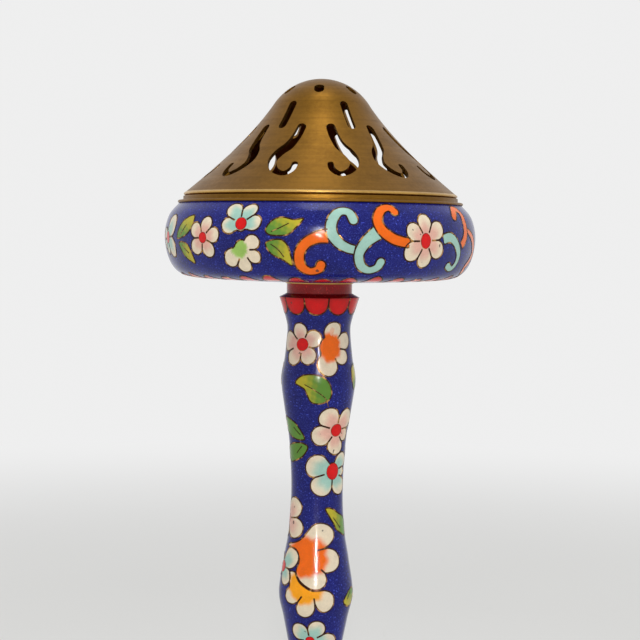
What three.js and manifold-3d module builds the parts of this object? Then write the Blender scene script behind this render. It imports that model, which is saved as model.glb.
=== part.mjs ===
// Cloisonne incense burner: a pierced brass lid, a drum-shaped enamelled bowl and a tall enamelled stem on a
// flared foot, all clamped together by one rod. Millimetres, Z up, standing on Z = 0, front towards -Y.
import * as THREE from "three";
import { mergeVertices } from "three/addons/utils/BufferGeometryUtils.js";
import Module from "manifold-3d";

const wasm = await Module();
wasm.setup();

// Walls and fits
const enamelThickness = 0.9;
const copperWall = 1.0;
const fitGap = 0.3;

// Foot
const footRingRadius = 36;
const footRingHeight = 5.6;
const footRingWall = 6.5;
const footRingChamfer = 0.6;
const plateShelf = 1.8;
const basePlateThickness = 1.0;
const footEdgeInset = 2;
const footTopRadius = 7.4;
const footHeight = 38.4;
// Outline of the foot from its edge up to the stem: share of its height, share of its flare
const footShares = [
  [0, 1],
  [0.1, 0.95],
  [0.21, 0.72],
  [0.35, 0.4],
  [0.56, 0.155],
  [0.79, 0.035],
  [1, 0],
];
const footCollarHeight = 2.0;
const footCollarOverhang = 0.5;

// Stem
const stemHeight = 94.6;
const stemFootRadius = 6.8;
const lowerBulgeRadius = 9.9;
const longWaistRadius = 6.92;
const upperBulgeRadius = 9.85;
const upperWaistRadius = 8.4;
const neckLipRadius = 10.6;
const neckRadius = 8.7;
const neckStep = 1.0;
const neckHeight = 3.5;
const neckCollarThickness = 0.6;
const neckCollarRadius = 9.0;
// Outline of the stem from the foot collar up to the lip: two radii, how far from the first to the second,
// share of its height
const stemShares = [
  [stemFootRadius, lowerBulgeRadius, 0, 0],
  [stemFootRadius, lowerBulgeRadius, 0.58, 0.096],
  [stemFootRadius, lowerBulgeRadius, 1, 0.168],
  [lowerBulgeRadius, longWaistRadius, 0.4, 0.264],
  [lowerBulgeRadius, longWaistRadius, 0.84, 0.35],
  [lowerBulgeRadius, longWaistRadius, 1, 0.47],
  [longWaistRadius, upperBulgeRadius, 0.25, 0.604],
  [longWaistRadius, upperBulgeRadius, 0.69, 0.688],
  [longWaistRadius, upperBulgeRadius, 1, 0.766],
  [upperBulgeRadius, upperWaistRadius, 0.55, 0.83],
  [upperBulgeRadius, upperWaistRadius, 1, 0.904],
  [upperWaistRadius, neckLipRadius, 0.21, 0.94],
  [upperWaistRadius, neckLipRadius, 1, 1],
];

// Bowl
const drumRadius = 40.8;
const drumHeight = 20.15;
const mouthRadius = 37.1;
// Outline of the drum from its underside up to the mouth: share of its radius, share of its height
const drumShares = [
  [0.47, 0.004],
  [0.64, 0.018],
  [0.76, 0.034],
  [0.845, 0.055],
  [0.9, 0.093],
  [0.935, 0.15],
  [0.964, 0.237],
  [0.988, 0.37],
  [1, 0.53],
  [0.998, 0.66],
  [0.984, 0.785],
  [0.96, 0.888],
];

// Mouth ring
const lipOverhang = 0.3;
const lipHeight = 0.75;
const bandInset = 1.1;
const bandHeight = 1.1;
const sleeveWall = 1.0;
const sleeveDepth = 4.3;
const panShelf = 1.6;
const panShelfThickness = 0.8;

// Ash pan
const panWall = 0.8;
const panCorner = 4;
const panClearance = 2.0;

// Lid
const lidHeight = 31;
const lidSheet = 0.9;
const lidCapRadius = 15;
const lidCapAngle = 56;
const lidFlareHandle = 10.4;
const lidRimSlope = 39.5;
const lidTurn = -4.2;
const spigotWall = 0.8;
const spigotDepth = 4.2;
const rimFlangeWidth = 0.9;
const rimFlangeThickness = 0.7;
const rimBeadHeight = 1.1;
const rimBeadInset = 0.1;
const rimBeadBulge = 0.6;

// Piercings of the lid: degrees from the front plane, share of the way from the top to the rim, width
const patternRepeats = 6;
const hookStations = [
  [11.7, 0.498, 2.3],
  [12.8, 0.545, 2.5],
  [14.4, 0.597, 2.6],
  [16.7, 0.648, 2.9],
  [20.8, 0.7, 2.85],
  [22.3, 0.768, 2.5],
  [18.6, 0.838, 2.2],
  [13.4, 0.868, 1.8],
  [9.9, 0.835, 1.65],
  [9.1, 0.788, 1.6],
];
const shortSlotSpan = [0.31, 0.507];
const shortSlotWidth = 2.2;
const ovalSpan = [0.173, 0.248];
const ovalWidth = 2.6;

// Rod and its fasteners
const rodRadius = 2.5;
const rodStickOut = 0.8;
const nutAcrossFlats = 8;
const nutSides = 6;
const nutThickness = 2.7;
const washerRadius = 5;
const washerThickness = 0.8;

// Half-round beads: shares of the height where their round face has a corner
const beadShares = [0.15, 0.5, 0.85];

// Fineness of the turned pieces
const wideFacets = 36;
const slimFacets = 24;
const drumSteps = 14;
const stemSteps = 14;
const footSteps = 7;
const lidSteps = 10;
const hookSteps = 12;

// Levels, from the floor up
const plateLevel = rodStickOut + nutThickness + washerThickness;
const footBase = footRingHeight;
const footTop = footBase + footHeight;
const stemBase = footTop + footCollarHeight;
const neckLip = stemBase + stemHeight;
const stemTop = neckLip + neckHeight;
const drumBase = stemTop + neckCollarThickness;
const drumTop = drumBase + drumHeight;
const bowlFloor = drumBase + enamelThickness + fitGap + copperWall;
const lidSeat = drumTop + lipHeight + bandHeight;

// Radii that follow from the fits
const footEdgeRadius = footRingRadius - footEdgeInset;
const rodHole = rodRadius + fitGap;
const shellDepth = enamelThickness + fitGap;
const [, widestRise] = drumShares.find(([radius]) => radius === 1);
const drumCurve = splineThrough([
  [neckCollarRadius + fitGap, drumBase],
  ...drumShares.map(([radius, rise]) => [drumWall(radius, rise), drumBase + rise * drumHeight]),
  [mouthRadius, drumTop],
]);
const sleeveOuter = Math.min(mouthRadius - shellDepth - copperWall, narrowestShell()) - fitGap;
const sleeveInner = sleeveOuter - sleeveWall;
const bandRadius = mouthRadius - bandInset;
const panShelfRadius = sleeveInner - panShelf;
const spigotRadius = sleeveInner - fitGap;

// Radius of the drum at one station. Above its widest place its wall never bends further in than a
// straight line to the mouth, so that the shoulder follows a mouth as wide as the drum.
function drumWall(radius, rise) {
  const climb = Math.max(0, (rise - widestRise) / (1 - widestRise));
  const straight = drumRadius + (mouthRadius - drumRadius) * climb;
  return climb > 0 ? Math.max(radius * drumRadius, straight) : radius * drumRadius;
}

const brass = new THREE.MeshStandardMaterial({ color: 0x9a7434, metalness: 1, roughness: 0.35 });
const agedBrass = new THREE.MeshStandardMaterial({ color: 0x83602a, metalness: 1, roughness: 0.45 });
const copper = new THREE.MeshStandardMaterial({ color: 0x9c5a3c, metalness: 1, roughness: 0.5 });
const steel = new THREE.MeshStandardMaterial({ color: 0x8c8c88, metalness: 1, roughness: 0.4 });
const enamel = new THREE.MeshStandardMaterial({ color: 0x2a3494, metalness: 0, roughness: 0.15 });

// Twice the signed area of a closed outline, positive when it runs anticlockwise
function outlineTurn(points) {
  return points.reduce((sum, point, i) => {
    const next = points[(i + 1) % points.length];
    return sum + point.x * next.y - next.x * point.y;
  }, 0);
}

// Turns a closed section, given as [radius, height] pairs or points, about the Z axis
function turned(section, facets) {
  const points = section.map((p) => (Array.isArray(p) ? new THREE.Vector2(p[0], p[1]) : p));
  if (outlineTurn(points) < 0) points.reverse();
  points.push(points[0].clone());
  return new THREE.LatheGeometry(points, facets).rotateX(Math.PI / 2);
}

// Turns a section that starts and ends on the axis
function turnedSolid(section, facets) {
  const points = section.map(([radius, height]) => new THREE.Vector2(radius, height));
  return new THREE.LatheGeometry(points, facets).rotateX(Math.PI / 2);
}

// Points of an upward curve moved inwards by a depth. An end face stays level on an upright wall and
// upright on a level one.
function shellLine(curve, steps, depth) {
  return Array.from({ length: steps + 1 }, (_, i) => {
    const point = curve.getPointAt(i / steps);
    const along = curve.getTangentAt(i / steps);
    const moved = new THREE.Vector2(point.x - depth * along.y, point.y + depth * along.x);
    if (i > 0 && i < steps) return moved;
    return Math.abs(along.x) > Math.abs(along.y)
      ? new THREE.Vector2(point.x, moved.y)
      : new THREE.Vector2(moved.x, point.y);
  });
}

function splineThrough(stations) {
  return new THREE.SplineCurve(stations.map(([radius, height]) => new THREE.Vector2(radius, height)));
}

function named(name, geometry, material) {
  const mesh = new THREE.Mesh(geometry, material);
  mesh.name = name;
  return mesh;
}

// Foot
const footCurve = splineThrough(
  footShares.map(([rise, flare]) => [
    footTopRadius + flare * (footEdgeRadius - footTopRadius),
    footBase + rise * footHeight,
  ]),
);

function footSkin(outerDepth, innerDepth) {
  const outer = shellLine(footCurve, footSteps, outerDepth);
  const inner = shellLine(footCurve, footSteps, innerDepth).reverse();
  return turned([...outer, ...inner], wideFacets);
}

function footRing() {
  const floorInner = footRingRadius - footRingWall;
  const shelfOuter = floorInner + plateShelf;
  return turned(
    [
      [floorInner, 0],
      [footRingRadius - footRingChamfer, 0],
      [footRingRadius, footRingChamfer],
      [footRingRadius, footRingHeight - footRingChamfer],
      [footRingRadius - footRingChamfer, footRingHeight],
      [shelfOuter, footRingHeight],
      [shelfOuter, plateLevel],
      [floorInner, plateLevel],
    ],
    wideFacets,
  );
}

function basePlate() {
  const plateRadius = footRingRadius - footRingWall + plateShelf - fitGap;
  return turned(
    [
      [rodHole, plateLevel],
      [plateRadius, plateLevel],
      [plateRadius, plateLevel + basePlateThickness],
      [rodHole, plateLevel + basePlateThickness],
    ],
    wideFacets,
  );
}

function footCollar() {
  const radius = footTopRadius;
  const round = beadShares.map((share) => [
    radius + footCollarOverhang * Math.sin(share * Math.PI),
    footTop + share * footCollarHeight,
  ]);
  return turned(
    [[rodHole, footTop], [radius, footTop], ...round, [radius, stemBase], [rodHole, stemBase]],
    slimFacets,
  );
}

// Stem
const stemCurve = splineThrough(
  stemShares.map(([from, to, share, rise]) => [
    THREE.MathUtils.lerp(from, to, share),
    stemBase + rise * stemHeight,
  ]),
);

function stemLine(depth) {
  const lipDrop = depth / 2;
  return [
    ...shellLine(stemCurve, stemSteps, depth).slice(0, -1),
    new THREE.Vector2(neckLipRadius - depth, neckLip - lipDrop),
    new THREE.Vector2(neckRadius - depth, neckLip + neckStep - lipDrop),
    new THREE.Vector2(neckRadius - depth, stemTop),
  ];
}

function stemSkin(outerDepth, innerDepth) {
  return turned([...stemLine(outerDepth), ...stemLine(innerDepth).reverse()], slimFacets);
}

function neckCollar() {
  return turned(
    [
      [rodHole, stemTop],
      [neckCollarRadius, stemTop],
      [neckCollarRadius, drumBase],
      [rodHole, drumBase],
    ],
    slimFacets,
  );
}

// The narrowest that the inside of the bowl's shell gets beside the sleeve of the mouth ring
function narrowestShell() {
  const inner = shellLine(drumCurve, drumSteps, shellDepth + copperWall);
  const below = inner.filter((point) => point.y < drumTop - sleeveDepth).length;
  return Math.min(...inner.slice(below - 1).map((point) => point.x));
}

// Bowl
function bowlEnamel() {
  const outer = shellLine(drumCurve, drumSteps, 0);
  const inner = shellLine(drumCurve, drumSteps, enamelThickness).reverse();
  return turned([...outer, ...inner], wideFacets);
}

function bowlShell() {
  const outer = shellLine(drumCurve, drumSteps, shellDepth);
  const inner = shellLine(drumCurve, drumSteps, shellDepth + copperWall).reverse();
  return turned(
    [
      [rodHole, drumBase],
      [neckCollarRadius, drumBase],
      [neckCollarRadius, outer[0].y],
      ...outer,
      ...inner,
      [rodHole, bowlFloor],
    ],
    wideFacets,
  );
}

function mouthRing() {
  const lipRadius = mouthRadius + lipOverhang;
  const shelfTop = drumTop - sleeveDepth + panShelfThickness;
  return turned(
    [
      [panShelfRadius, drumTop - sleeveDepth],
      [sleeveOuter, drumTop - sleeveDepth],
      [sleeveOuter, drumTop],
      [mouthRadius, drumTop],
      [lipRadius, drumTop + lipHeight / 4],
      [lipRadius, drumTop + (3 * lipHeight) / 4],
      [mouthRadius, drumTop + lipHeight],
      [bandRadius, drumTop + lipHeight],
      [bandRadius, lidSeat],
      [sleeveInner, lidSeat],
      [sleeveInner, shelfTop],
      [panShelfRadius, shelfTop],
    ],
    wideFacets,
  );
}

// Ash pan: hangs by its flange on the shelf of the mouth ring, clear of the rod's end below it
const rodTop = bowlFloor + washerThickness + nutThickness + rodStickOut;

function ashPan() {
  const flangeBase = drumTop - sleeveDepth + panShelfThickness;
  const flangeTop = flangeBase + panWall;
  const outer = panShelfRadius - fitGap;
  const inner = outer - panWall;
  const base = rodTop + panClearance;
  const floor = base + panWall;
  const bend = Math.SQRT1_2 * panCorner;
  return turnedSolid(
    [
      [0, base],
      [outer - panCorner, base],
      [outer - panCorner + bend, base + panCorner - bend],
      [outer, base + panCorner],
      [outer, flangeBase],
      [spigotRadius, flangeBase],
      [spigotRadius, flangeTop],
      [inner, flangeTop],
      [inner, floor + panCorner],
      [inner - panCorner + bend, floor + panCorner - bend],
      [inner - panCorner, floor],
      [0, floor],
    ],
    wideFacets,
  );
}

// Lid, modelled about its seat. Its sheet stands on the flat top of the rim bead.
const rimOuter = spigotRadius + rimFlangeWidth;
const beadOuter = bandRadius - rimBeadInset;
const domeEdge = beadOuter - rimBeadBulge;
const domeFoot = rimBeadHeight;

function lidPath() {
  const capAngle = THREE.MathUtils.degToRad(lidCapAngle);
  const slope = THREE.MathUtils.degToRad(lidRimSlope);
  const capCentre = lidHeight - lidCapRadius;
  const joint = new THREE.Vector2(
    lidCapRadius * Math.sin(capAngle),
    capCentre + lidCapRadius * Math.cos(capAngle),
  );
  const rim = new THREE.Vector2(domeEdge, domeFoot);
  const path = new THREE.CurvePath();
  path.add(
    new THREE.EllipseCurve(
      0, capCentre, lidCapRadius, lidCapRadius, Math.PI / 2, Math.PI / 2 - capAngle, true,
    ),
  );
  path.add(
    new THREE.CubicBezierCurve(
      joint,
      new THREE.Vector2(
        joint.x + lidFlareHandle * Math.cos(capAngle),
        joint.y - lidFlareHandle * Math.sin(capAngle),
      ),
      new THREE.Vector2(rim.x - lidFlareHandle * Math.cos(slope), rim.y + lidFlareHandle * Math.sin(slope)),
      rim,
    ),
  );
  return path;
}
const lidCurve = lidPath();
const lidLength = lidCurve.getLength();

// The point of the lid at a share of the way from top to rim, lifted off the sheet
function lidPoint(share, lift) {
  const point = lidCurve.getPoint(share);
  const along = lidCurve.getTangent(share);
  return new THREE.Vector2(point.x - lift * along.y, point.y + lift * along.x);
}

function lidSheetSolid() {
  const line = (lift) => Array.from({ length: lidSteps + 1 }, (_, i) => lidPoint(i / lidSteps, lift));
  const outer = line(0);
  const inner = line(-lidSheet);
  outer[0].x = 0;
  inner[0].x = 0;
  const rimCut = lidSheet / Math.sin(THREE.MathUtils.degToRad(lidRimSlope));
  inner[lidSteps].set(outer[lidSteps].x - rimCut, outer[lidSteps].y);
  return turnedSolid([...inner, ...outer.reverse()].map((p) => [p.x, p.y]), wideFacets);
}

function solidFrom(geometry) {
  const bare = new THREE.BufferGeometry();
  bare.setAttribute("position", geometry.getAttribute("position"));
  if (geometry.index) bare.setIndex(geometry.index);
  const merged = mergeVertices(bare, 1e-4);
  return new wasm.Manifold(
    new wasm.Mesh({
      numProp: 3,
      vertProperties: merged.attributes.position.array,
      triVerts: new Uint32Array(merged.index.array),
    }),
  );
}

function geometryFrom(solid) {
  const mesh = solid.getMesh();
  const stride = mesh.numProp;
  const positions = new Float32Array(mesh.numVert * 3);
  for (let i = 0; i < mesh.numVert; i++) {
    positions.set(mesh.vertProperties.subarray(i * stride, i * stride + 3), 3 * i);
  }
  const geometry = new THREE.BufferGeometry();
  geometry.setAttribute("position", new THREE.BufferAttribute(positions, 3));
  geometry.setIndex(new THREE.BufferAttribute(mesh.triVerts, 1));
  geometry.computeVertexNormals();
  return geometry;
}

// Outline of a slot with round ends, in millimetres across and along the sheet
function slotOutline(stations, steps) {
  const spine = new THREE.SplineCurve(stations.map(([x, y]) => new THREE.Vector2(x, y)));
  const widthAt = (t) => {
    const place = t * (stations.length - 1);
    const i = Math.min(Math.floor(place), stations.length - 2);
    return THREE.MathUtils.lerp(stations[i][2], stations[i + 1][2], place - i);
  };
  const left = [];
  const right = [];
  for (let i = 0; i <= steps; i++) {
    const centre = spine.getPoint(i / steps);
    const along = spine.getTangent(i / steps);
    const half = widthAt(i / steps) / 2;
    left.push(new THREE.Vector2(centre.x - half * along.y, centre.y + half * along.x));
    right.push(new THREE.Vector2(centre.x + half * along.y, centre.y - half * along.x));
  }
  const roundEnd = (t, sense) => {
    const centre = spine.getPoint(t);
    const along = spine.getTangent(t).multiplyScalar(sense);
    const half = widthAt(t) / 2;
    return [-45, 0, 45].map((degrees) => {
      const turn = THREE.MathUtils.degToRad(degrees);
      const x = along.x * Math.cos(turn) - along.y * Math.sin(turn);
      const y = along.x * Math.sin(turn) + along.y * Math.cos(turn);
      return new THREE.Vector2(centre.x + half * x, centre.y + half * y);
    });
  };
  const outline = [...right, ...roundEnd(1, 1), ...left.reverse(), ...roundEnd(0, -1)];
  return outlineTurn(outline) < 0 ? outline.reverse() : outline;
}

// A plug through the sheet under an outline, turned about the axis by an angle
function plugThrough(outline, turn) {
  const reach = 1.3;
  const place = (point, lift) => {
    const share = THREE.MathUtils.clamp(point.y / lidLength, 0, 1);
    const azimuth = turn + point.x / lidPoint(share, 0).x;
    const at = lidPoint(share, lift);
    return [at.x * Math.sin(azimuth), -at.x * Math.cos(azimuth), at.y];
  };
  const outer = outline.map((point) => place(point, reach));
  const inner = outline.map((point) => place(point, -lidSheet - reach));
  const corners = [];
  for (const [a, b, c] of THREE.ShapeUtils.triangulateShape(outline, [])) {
    corners.push(outer[a], outer[c], outer[b], inner[a], inner[b], inner[c]);
  }
  outline.forEach((_, i) => {
    const j = (i + 1) % outline.length;
    corners.push(outer[i], outer[j], inner[j], outer[i], inner[j], inner[i]);
  });
  const geometry = new THREE.BufferGeometry();
  geometry.setAttribute("position", new THREE.Float32BufferAttribute(corners.flat(), 3));
  return solidFrom(geometry);
}

function piercedLid() {
  const along = (share) => share * lidLength;
  const across = (degrees, share) => THREE.MathUtils.degToRad(degrees) * lidPoint(share, 0).x;
  const hook = slotOutline(
    hookStations.map(([degrees, share, width]) => [across(degrees, share), along(share), width]),
    hookSteps,
  );
  const mirroredHook = hook.map((p) => new THREE.Vector2(-p.x, p.y)).reverse();
  const straight = (span, width) => {
    const half = width / 2;
    return slotOutline([[0, along(span[0]) + half, width], [0, along(span[1]) - half, width]], 1);
  };
  const shortSlot = straight(shortSlotSpan, shortSlotWidth);
  const oval = straight(ovalSpan, ovalWidth);
  let lid = solidFrom(lidSheetSolid());
  for (let i = 0; i < patternRepeats; i++) {
    const turn = (2 * Math.PI * i) / patternRepeats;
    const halfTurn = Math.PI / patternRepeats;
    lid = lid.subtract(plugThrough(hook, turn));
    lid = lid.subtract(plugThrough(mirroredHook, turn));
    lid = lid.subtract(plugThrough(oval, turn));
    lid = lid.subtract(plugThrough(shortSlot, turn + halfTurn));
  }
  return geometryFrom(lid);
}

function lidSpigot() {
  const inner = spigotRadius - spigotWall;
  return turned(
    [
      [inner, -spigotDepth],
      [spigotRadius, -spigotDepth],
      [spigotRadius, 0],
      [rimOuter, 0],
      [rimOuter, rimFlangeThickness],
      [inner, rimFlangeThickness],
    ],
    wideFacets,
  );
}

function lidRimBead() {
  const inner = rimOuter + fitGap;
  const round = beadShares.map((share) => [
    domeEdge + rimBeadBulge * Math.sin(share * Math.PI),
    share * rimBeadHeight,
  ]);
  return turned(
    [[inner, 0], [domeEdge, 0], ...round, [domeEdge, rimBeadHeight], [inner, rimBeadHeight]],
    wideFacets,
  );
}

// Rod and fasteners
function tieRod() {
  const bottom = 0.5 * rodStickOut;
  const length = rodTop - bottom;
  const rod = new THREE.CylinderGeometry(rodRadius, rodRadius, length, slimFacets).rotateX(Math.PI / 2);
  return rod.translate(0, 0, bottom + length / 2);
}

function hexNut(base) {
  const corner = nutAcrossFlats / 2 / Math.cos(Math.PI / nutSides);
  const shape = new THREE.Shape(
    Array.from({ length: nutSides }, (_, i) => {
      const angle = (2 * Math.PI * i) / nutSides;
      return new THREE.Vector2(corner * Math.cos(angle), corner * Math.sin(angle));
    }),
  );
  const hole = new THREE.Path().absarc(0, 0, rodHole, 0, 2 * Math.PI, true);
  shape.holes.push(hole);
  const nut = new THREE.ExtrudeGeometry(shape, {
    depth: nutThickness,
    bevelEnabled: false,
    curveSegments: slimFacets / 2,
  });
  return nut.translate(0, 0, base);
}

function washer(base) {
  return turned(
    [
      [rodHole, base],
      [washerRadius, base],
      [washerRadius, base + washerThickness],
      [rodHole, base + washerThickness],
    ],
    slimFacets,
  );
}

const stand = new THREE.Group();
stand.add(
  named("foot_ring", footRing(), brass),
  named("base_plate", basePlate(), brass),
  named("foot_shell", footSkin(shellDepth, shellDepth + copperWall), copper),
  named("foot_enamel", footSkin(0, enamelThickness), enamel),
  named("foot_collar", footCollar(), brass),
  named("stem_tube", stemSkin(shellDepth, shellDepth + copperWall), copper),
  named("stem_enamel", stemSkin(0, enamelThickness), enamel),
  named("neck_collar", neckCollar(), brass),
  named("bowl_shell", bowlShell(), copper),
  named("bowl_enamel", bowlEnamel(), enamel),
  named("mouth_ring", mouthRing(), agedBrass),
  named("tie_rod", tieRod(), steel),
  named("bottom_nut", hexNut(rodStickOut), steel),
  named("bottom_washer", washer(rodStickOut + nutThickness), steel),
  named("top_washer", washer(bowlFloor), steel),
  named("top_nut", hexNut(bowlFloor + washerThickness), steel),
);

const liner = new THREE.Group();
liner.add(named("ash_pan", ashPan(), copper));

const lid = new THREE.Group();
lid.position.z = lidSeat;
lid.rotation.z = THREE.MathUtils.degToRad(lidTurn);
lid.add(
  named("lid_dome", piercedLid(), agedBrass),
  named("lid_rim_bead", lidRimBead(), brass),
  named("lid_spigot", lidSpigot(), brass),
);

const burner = new THREE.Group();
burner.add(stand, liner, lid);

export default burner;
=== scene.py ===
# %% [markdown]
# A cloisonne incense burner. The solid model brings the sizes and the joints. This file dresses it:
# turned brass with its tool lines, a pierced lid with real cut edges, and enamel whose flowers, leaves and
# scrolls are real cells with gilt wires round them. All lengths below are millimetres, and MM turns them
# into Blender's metres at the last moment.

# %% Load the frame
import math

import bpy
import numpy as np
from mathutils import Matrix, Vector


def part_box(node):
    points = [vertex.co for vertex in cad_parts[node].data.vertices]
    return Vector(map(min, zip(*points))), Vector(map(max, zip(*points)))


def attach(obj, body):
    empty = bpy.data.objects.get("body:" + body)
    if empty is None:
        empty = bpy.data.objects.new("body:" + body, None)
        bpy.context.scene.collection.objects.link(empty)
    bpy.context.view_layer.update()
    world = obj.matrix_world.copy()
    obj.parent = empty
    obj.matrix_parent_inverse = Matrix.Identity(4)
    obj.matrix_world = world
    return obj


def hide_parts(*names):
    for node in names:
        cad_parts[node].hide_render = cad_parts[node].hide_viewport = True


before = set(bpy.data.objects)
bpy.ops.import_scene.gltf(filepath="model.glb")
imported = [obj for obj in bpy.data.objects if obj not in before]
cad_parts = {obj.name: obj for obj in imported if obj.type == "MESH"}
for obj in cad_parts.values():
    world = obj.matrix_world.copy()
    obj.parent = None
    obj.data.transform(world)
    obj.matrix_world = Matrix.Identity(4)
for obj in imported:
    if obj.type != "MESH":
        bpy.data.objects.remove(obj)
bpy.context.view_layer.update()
MM = 0.001


def reach(node):
    """The radius of a turned node."""
    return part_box(node)[1].x / MM


def levels(node):
    """The lowest and highest level of a node."""
    low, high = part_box(node)
    return low.z / MM, high.z / MM


drum_base, drum_top = levels("bowl_enamel")
stem_base, stem_top = levels("stem_enamel")
foot_base, foot_top = levels("foot_enamel")
lid_seat = levels("mouth_ring")[1]
print("drum", drum_base, drum_top, "stem", stem_base, stem_top, "foot", foot_base, foot_top)

# %% [markdown]
# The camera stands where the photographer stood: four hundred millimetres away, level with the middle of
# the drum, tipped down a little and rolled by less than a degree. It comes first because the motifs are
# placed on the photograph, and the same camera turns such a place into a spot on the enamel.

# %% Camera
PHOTO_SIZE = 640
CAMERA_DISTANCE = 400.0
CAMERA_HEIGHT = 156.8
CAMERA_ASIDE = 0.25
CAMERA_LENS = 85.2
SENSOR = 36.0
CAMERA_PITCH = math.radians(3.2)
CAMERA_ROLL = math.radians(0.7)

camera = bpy.data.objects.new("camera", bpy.data.cameras.new("camera"))
bpy.context.scene.collection.objects.link(camera)
camera.data.lens = CAMERA_LENS
camera.data.sensor_width = SENSOR
camera.data.clip_start = 0.01
turn = Matrix.Rotation(math.pi / 2 - CAMERA_PITCH, 4, "X") @ Matrix.Rotation(CAMERA_ROLL, 4, "Z")
eye = Vector((CAMERA_ASIDE, -CAMERA_DISTANCE, CAMERA_HEIGHT))
camera.matrix_world = Matrix.Translation(eye * MM) @ turn
bpy.context.scene.camera = camera
bpy.context.scene.view_settings.view_transform = "Standard"


def sight_line(x, y):
    """The direction from the camera through a pixel of the photograph."""
    focal = CAMERA_LENS / SENSOR * PHOTO_SIZE
    local = Vector(((x - PHOTO_SIZE / 2) / focal, -(y - PHOTO_SIZE / 2) / focal, -1.0))
    return (turn.to_3x3() @ local).normalized()


# %% [markdown]
# The burner is three turned skins: foot, stem and drum. Each outline is a smooth curve through a few
# stations, written as the maker would write a template. A Skin knows how far along its outline a point
# lies, so a motif drawn flat can be wrapped round it without stretching.

# %% Outlines of the skins
FOOT_TOP_RADIUS = 7.4
FOOT_EDGE_RADIUS = reach("foot_enamel")
FOOT_OUTLINE = [(0, 1), (0.1, 0.95), (0.21, 0.72), (0.35, 0.4), (0.56, 0.155), (0.79, 0.035), (1, 0)]
STEM_FOOT, LOWER_BULGE, LONG_WAIST = 6.8, 9.9, 6.92
UPPER_BULGE, UPPER_WAIST, NECK_LIP = 9.85, 8.4, reach("stem_enamel")
NECK_RADIUS, NECK_HEIGHT, NECK_STEP = 8.7, 3.5, 1.0
NECK_COLLAR = reach("neck_collar")
MOUTH_RADIUS = 37.1
DRUM_RADIUS = 40.78
DRUM_OUTLINE = [
    (0.47, 0.004), (0.64, 0.018), (0.76, 0.034), (0.845, 0.055), (0.9, 0.093), (0.935, 0.15),
        (0.964, 0.237),
    (0.988, 0.37), (1, 0.53), (0.998, 0.66), (0.984, 0.785), (0.96, 0.888),
]
ENAMEL = 0.9
FIT_GAP = 0.3
COPPER_WALL = 1.0


def between(a, b, share):
    return a + (b - a) * share


def smooth_curve(stations, steps):
    """Points of a uniform Catmull-Rom curve through the stations."""
    last = len(stations) - 1
    points = []
    for i in range(steps + 1):
        place = last * i / steps
        k = min(int(place), last - 1)
        t = place - k
        p0, p1, p2, p3 = (np.array(stations[min(max(j, 0), last)], float) for j in range(k - 1, k + 3))
        v0, v1 = (p2 - p0) / 2, (p3 - p1) / 2
        points.append(
            (2 * p1 - 2 * p2 + v0 + v1) * t**3 + (3 * p2 - 3 * p1 - 2 * v0 - v1) * t**2 + v0 * t + p1
        )
    return np.array(points)


class Skin:
    """A surface of revolution, known by its outline as (radius, level) points from the bottom up.

    The normal is taken over a short step to either side.
    """

    def __init__(self, outline, step=0.2):
        self.r, self.z, self.step = outline[:, 0], outline[:, 1], step
        steps = np.hypot(np.diff(self.r), np.diff(self.z))
        self.m = np.concatenate([[0], np.cumsum(steps)])
        self.length = self.m[-1]

    def at(self, along):
        """Radius, level and outward normal at a distance along the outline."""
        along = np.asarray(along, float)
        low, high = (np.clip(along + step, 0, self.length) for step in (-self.step, self.step))
        dr = np.interp(high, self.m, self.r) - np.interp(low, self.m, self.r)
        dz = np.interp(high, self.m, self.z) - np.interp(low, self.m, self.z)
        size = np.hypot(dr, dz)
        return np.interp(along, self.m, self.r), np.interp(along, self.m, self.z), dz / size, -dr / size

    def along_at(self, level):
        return float(np.interp(level, self.z, self.m))

    def wrap(self, azimuth, along, flat, lift):
        """Flat (across, up) points of a motif laid on the skin at a place, lifted off it."""
        r, z, nr, nz = self.at(along + flat[:, 1])
        angle = azimuth + flat[:, 0] / np.maximum(r, 1.0)
        radius = r + nr * lift
        return np.stack([radius * np.sin(angle), -radius * np.cos(angle), z + nz * lift], 1)

    def seen(self, x, y):
        """Azimuth and distance along the outline of what a pixel of the photograph shows."""
        ray = sight_line(x, y)
        best = None
        for distance in np.arange(CAMERA_DISTANCE - 45, CAMERA_DISTANCE + 10, 0.1):
            point = eye + ray * distance
            radius = math.hypot(point.x, point.y)
            over = radius - float(np.interp(point.z, self.z, self.r))
            if best is None or over < best[0]:
                best = (over, point)
            if over <= 0:
                break
        point = best[1]
        return math.atan2(point.x, -point.y), self.along_at(point.z)

    def flat_from(self, place, x, y):
        """The flat position, relative to a place on the skin, of what a pixel shows."""
        azimuth, along = self.seen(x, y)
        radius = float(self.at(along)[0])
        return np.array([(azimuth - place[0]) * radius, along - place[1]])


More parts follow.
